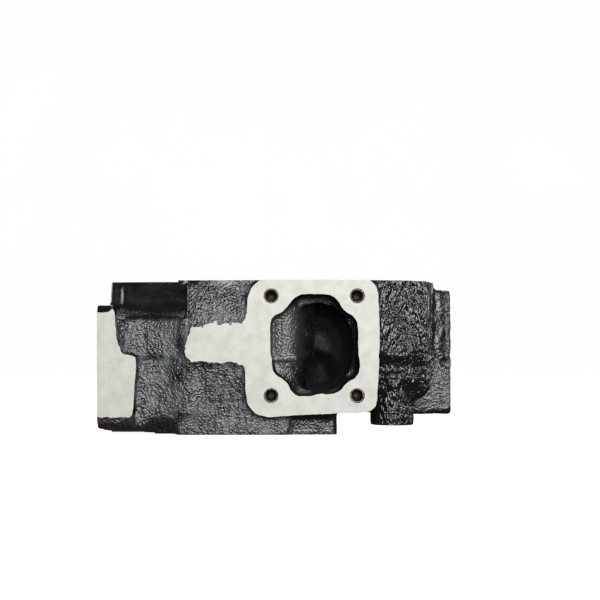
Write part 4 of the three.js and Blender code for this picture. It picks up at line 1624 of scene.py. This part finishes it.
    def collets(self) -> None:
        """Turns the collet and splits it into its two halves."""
        stem, groove, mid = self.stem + 0.15, self.groove + 0.25, self.groove_z
        profile: Profile = [
            (5.4, 100.2), (7.2, 111), (stem, 111), (stem, mid + 1), (groove, mid + 0.4),
            (groove, mid - 0.4), (stem, mid - 1), (stem, 100.2),
        ]  # fmt: skip
        for half, side in (("a", 1), ("b", -1)):
            bm = turned(profile, closed=True)
            split = bmesh.ops.bisect_plane(
                bm,
                geom=bm.verts[:] + bm.edges[:] + bm.faces[:],
                plane_co=(side * 0.5 * MM, 0, 0),
                plane_no=(side, 0, 0),
                clear_inner=True,
            )
            rims = [e for e in split["geom_cut"] if isinstance(e, bmesh.types.BMEdge)]
            bmesh.ops.holes_fill(bm, edges=rims, sides=0)
            obj = self.placed(f"split_collet_{half}", bm, 0.12)
            self.fit(obj, QUENCHED_STEEL, f"collet_{half}", True)


# ------------------------------------------------------------------------------ pressed-in pieces


@dataclass
class InjectorSleeve:
    """The copper sleeve between the injector and the coolant, in millimetres."""

    axis: tuple[float, float] = (-47.0, 0.0)

    def build(self) -> None:
        """Draws the sleeve, with its rolled lip and its seat, and fits it."""
        profile: Profile = [
            (11.5, 12), (11.5, 72.1), (13.4, 72.1), (13.4, 73.6), (9.9, 73.6), (9.9, 21),
            (5.6, 16), (5.6, 12),
        ]  # fmt: skip
        bm = turned(profile, closed=True)
        soften(bm, 0.35, steps=3)
        obj = as_object("copper_sleeve", moved(bm, (*self.axis, 0)))
        fitted(obj, DRAWN_COPPER, "injector_sleeve", "head")


@dataclass
class BridgePins:
    """The two pins that guide the valve bridges, in millimetres."""

    radius: float = 4.5
    bottom: float = 52.0
    top: float = 113.0

    def build(self) -> None:
        """Turns both pins and fits them."""
        profile: Profile = [
            (0, self.bottom), (self.radius, self.bottom), (self.radius, self.top - 1.5),
            (self.radius - 1.5, self.top), (0, self.top),
        ]  # fmt: skip
        for name, x in (("intake", -25.0), ("exhaust", -69.0)):
            bm = turned(profile, 48)
            soften(bm, 0.3)
            obj = as_object(f"pin_{name}", moved(bm, (x, 0, 0)))
            fitted(obj, QUENCHED_STEEL, f"bridge_guide_pin_{name}", "head")


@dataclass
class CorePlugs:
    """The pressed steel cups that close the casting's core holes, in millimetres."""

    radius: float = 15.0
    wall: float = 2.0
    depth: float = 9.0
    inset: float = 1.5
    rear: tuple = (("rear_left", -82, 42), ("rear_middle", -14, 42), ("rear_right", 88, 84))
    side: Point = (127.0, 14.0, 84.0)

    def cup(self) -> Solid:
        """Turns one cup about the Z axis.

        Returns:
            The cup, with its open end at the top.
        """
        r, w, d = self.radius, self.wall, self.depth
        profile: Profile = [
            (0, -d + 0.4), (r - 4, -d), (r - 1.5, -d), (r, -d + 1.5), (r, 0), (r - w + 0.4, 0),
            (r - w, -0.8), (r - w, -d + w + 1), (r - w - 1.5, -d + w), (0, -d + w + 0.4),
        ]  # fmt: skip
        bm = turned(profile)
        soften(bm, 0.5, steps=3)
        return bm

    def build(self) -> None:
        """Presses every cup into its hole."""
        places = [(name, (x, REAR_Y - self.inset, z), Facing.REAR) for name, x, z in self.rear]
        x, y, z = self.side
        places.append(("side", (x - self.inset, y, z), Facing.RIGHT))
        for name, at, facing in places:
            obj = as_object(f"cup_{name}", facing.put(self.cup(), at))
            fitted(obj, ZINC_PLATE, f"core_plug_{name}", "head")


@dataclass
class GalleryPlugs:
    """The screwed plugs with hexagon sockets in the rear wall, in millimetres."""

    radius: float = 6.2
    depth: float = 9.0
    socket: float = 3.0
    socket_depth: float = 5.0
    sunk: float = 2.0
    places: tuple = (("upper", -72.5, 88), ("lower", 33, 40))

    def build(self) -> None:
        """Turns each plug, broaches its socket and fits it."""
        r, d = self.radius, self.depth
        for name, x, z in self.places:
            bm = turned([(0, -d), (r - 0.8, -d), (r, -d + 0.8), (r, -0.8), (r - 0.8, 0), (0, 0)])
            soften(bm, 0.2)
            obj = as_object(f"screw_plug_{name}", bm)
            socket = bmesh.new()
            bmesh.ops.create_cone(
                socket,
                cap_ends=True,
                segments=6,
                radius1=self.socket * MM,
                radius2=self.socket * MM,
                depth=2 * self.socket_depth * MM,
            )
            cut(obj, socket)
            obj.data.transform(Facing.REAR.placed((x, REAR_Y - self.sunk, z)))
            fitted(obj, ZINC_PLATE, f"gallery_plug_{name}", "head")


# ------------------------------------------------------------------------------ studio


@dataclass
class Studio:
    """A pale sweep, soft lights and the camera, in millimetres and watts."""

    eye: Point = (8.0, -968.0, 62.0)
    field_width: float = 456.0
    field_distance: float = 880.0
    shift: tuple[float, float] = (0.0172, 0.0898)
    sensor: float = 36.0

    def build(self) -> None:
        """Sets the sweep, the lights, the world and the camera."""
        self.sweep()
        self.lights()
        self.world()
        self.camera()

    def sweep(self) -> None:
        """Makes the floor, which curves up all round into a wall and closes into a dome."""
        bend, far, high, steps = 900, 2600, 3600, 12
        profile = [(0.0, 0.0)]
        for step in range(steps + 1):
            angle = math.radians(90 * step / steps)
            profile.append((far + bend * math.sin(angle), bend * (1 - math.cos(angle))))
        profile += [(far + bend, high), (0.0, high + bend)]
        obj = as_object("sweep", turned(profile, 96))
        obj.data.shade_smooth()
        obj.data.materials.append(LIT_ACRYLIC.material())
        for ray in ("diffuse", "glossy", "shadow"):
            setattr(obj, f"visible_{ray}", False)

    def lights(self) -> None:
        """Hangs the soft boxes: the key by the camera, weaker ones over, behind and beside."""
        # Each one's name, place, aim, width, height and power.
        boxes = (
            ("key_box", (200, -1500, 420), (0, 0, 60), 1050, 850, 27),
            ("rear_box", (-300, 1500, 600), (0, 0, 60), 1200, 800, 22),
            ("top_box", (0, 1400, 1600), (0, 60, 60), 1500, 700, 18),
            ("left_box", (-1500, 350, 450), (0, 0, 60), 800, 700, 10),
            ("right_box", (1500, 350, 450), (0, 0, 60), 800, 700, 10),
        )
        for name, at, aim, wide, tall, power in boxes:
            lamp = bpy.data.lights.new(name, "AREA")
            lamp.shape = "RECTANGLE"
            lamp.size, lamp.size_y = wide * MM, tall * MM
            lamp.energy = power
            holder = bpy.data.objects.new(name, lamp)
            holder.location = Vector(at) * MM
            look = (Vector(aim) - Vector(at)).to_track_quat("-Z", "Y")
            holder.rotation_euler = look.to_euler()
            holder.visible_camera = False
            bpy.context.scene.collection.objects.link(holder)

    def world(self) -> None:
        """Fills the rest of the room with a dim even grey."""
        world = bpy.data.worlds.new("studio")
        world.use_nodes = True
        world.node_tree.nodes.clear()
        inputs = {"Color": linear("#ffffff"), "Strength": 0.06}
        glow = add_node(world.node_tree, "ShaderNodeBackground", inputs)
        add_node(world.node_tree, "ShaderNodeOutputWorld", {"Surface": glow.outputs["Background"]})
        bpy.context.scene.world = world
        bpy.context.scene.view_settings.view_transform = "Standard"

    def camera(self) -> None:
        """Sets the camera square on to the intake face."""
        lens = bpy.data.cameras.new("camera")
        lens.sensor_width = self.sensor
        lens.lens = self.sensor * self.field_distance / self.field_width
        lens.shift_x, lens.shift_y = self.shift
        lens.clip_end = 50
        holder = bpy.data.objects.new("camera", lens)
        holder.location = Vector(self.eye) * MM
        holder.rotation_euler = (math.pi / 2, 0, 0)
        bpy.context.scene.collection.objects.link(holder)
        bpy.context.scene.camera = holder


def main() -> None:
    """Builds the head's pieces in order, then the studio."""
    logging.basicConfig(level=logging.INFO, format="%(message)s")
    valves = valve_places()
    HeadCasting(valves).build()
    for place in valves:
        ValveStation(place).build()
    for piece in (InjectorSleeve(), BridgePins(), CorePlugs(), GalleryPlugs()):
        piece.build()
    Studio().build()


if __name__ == "__main__":
    main()
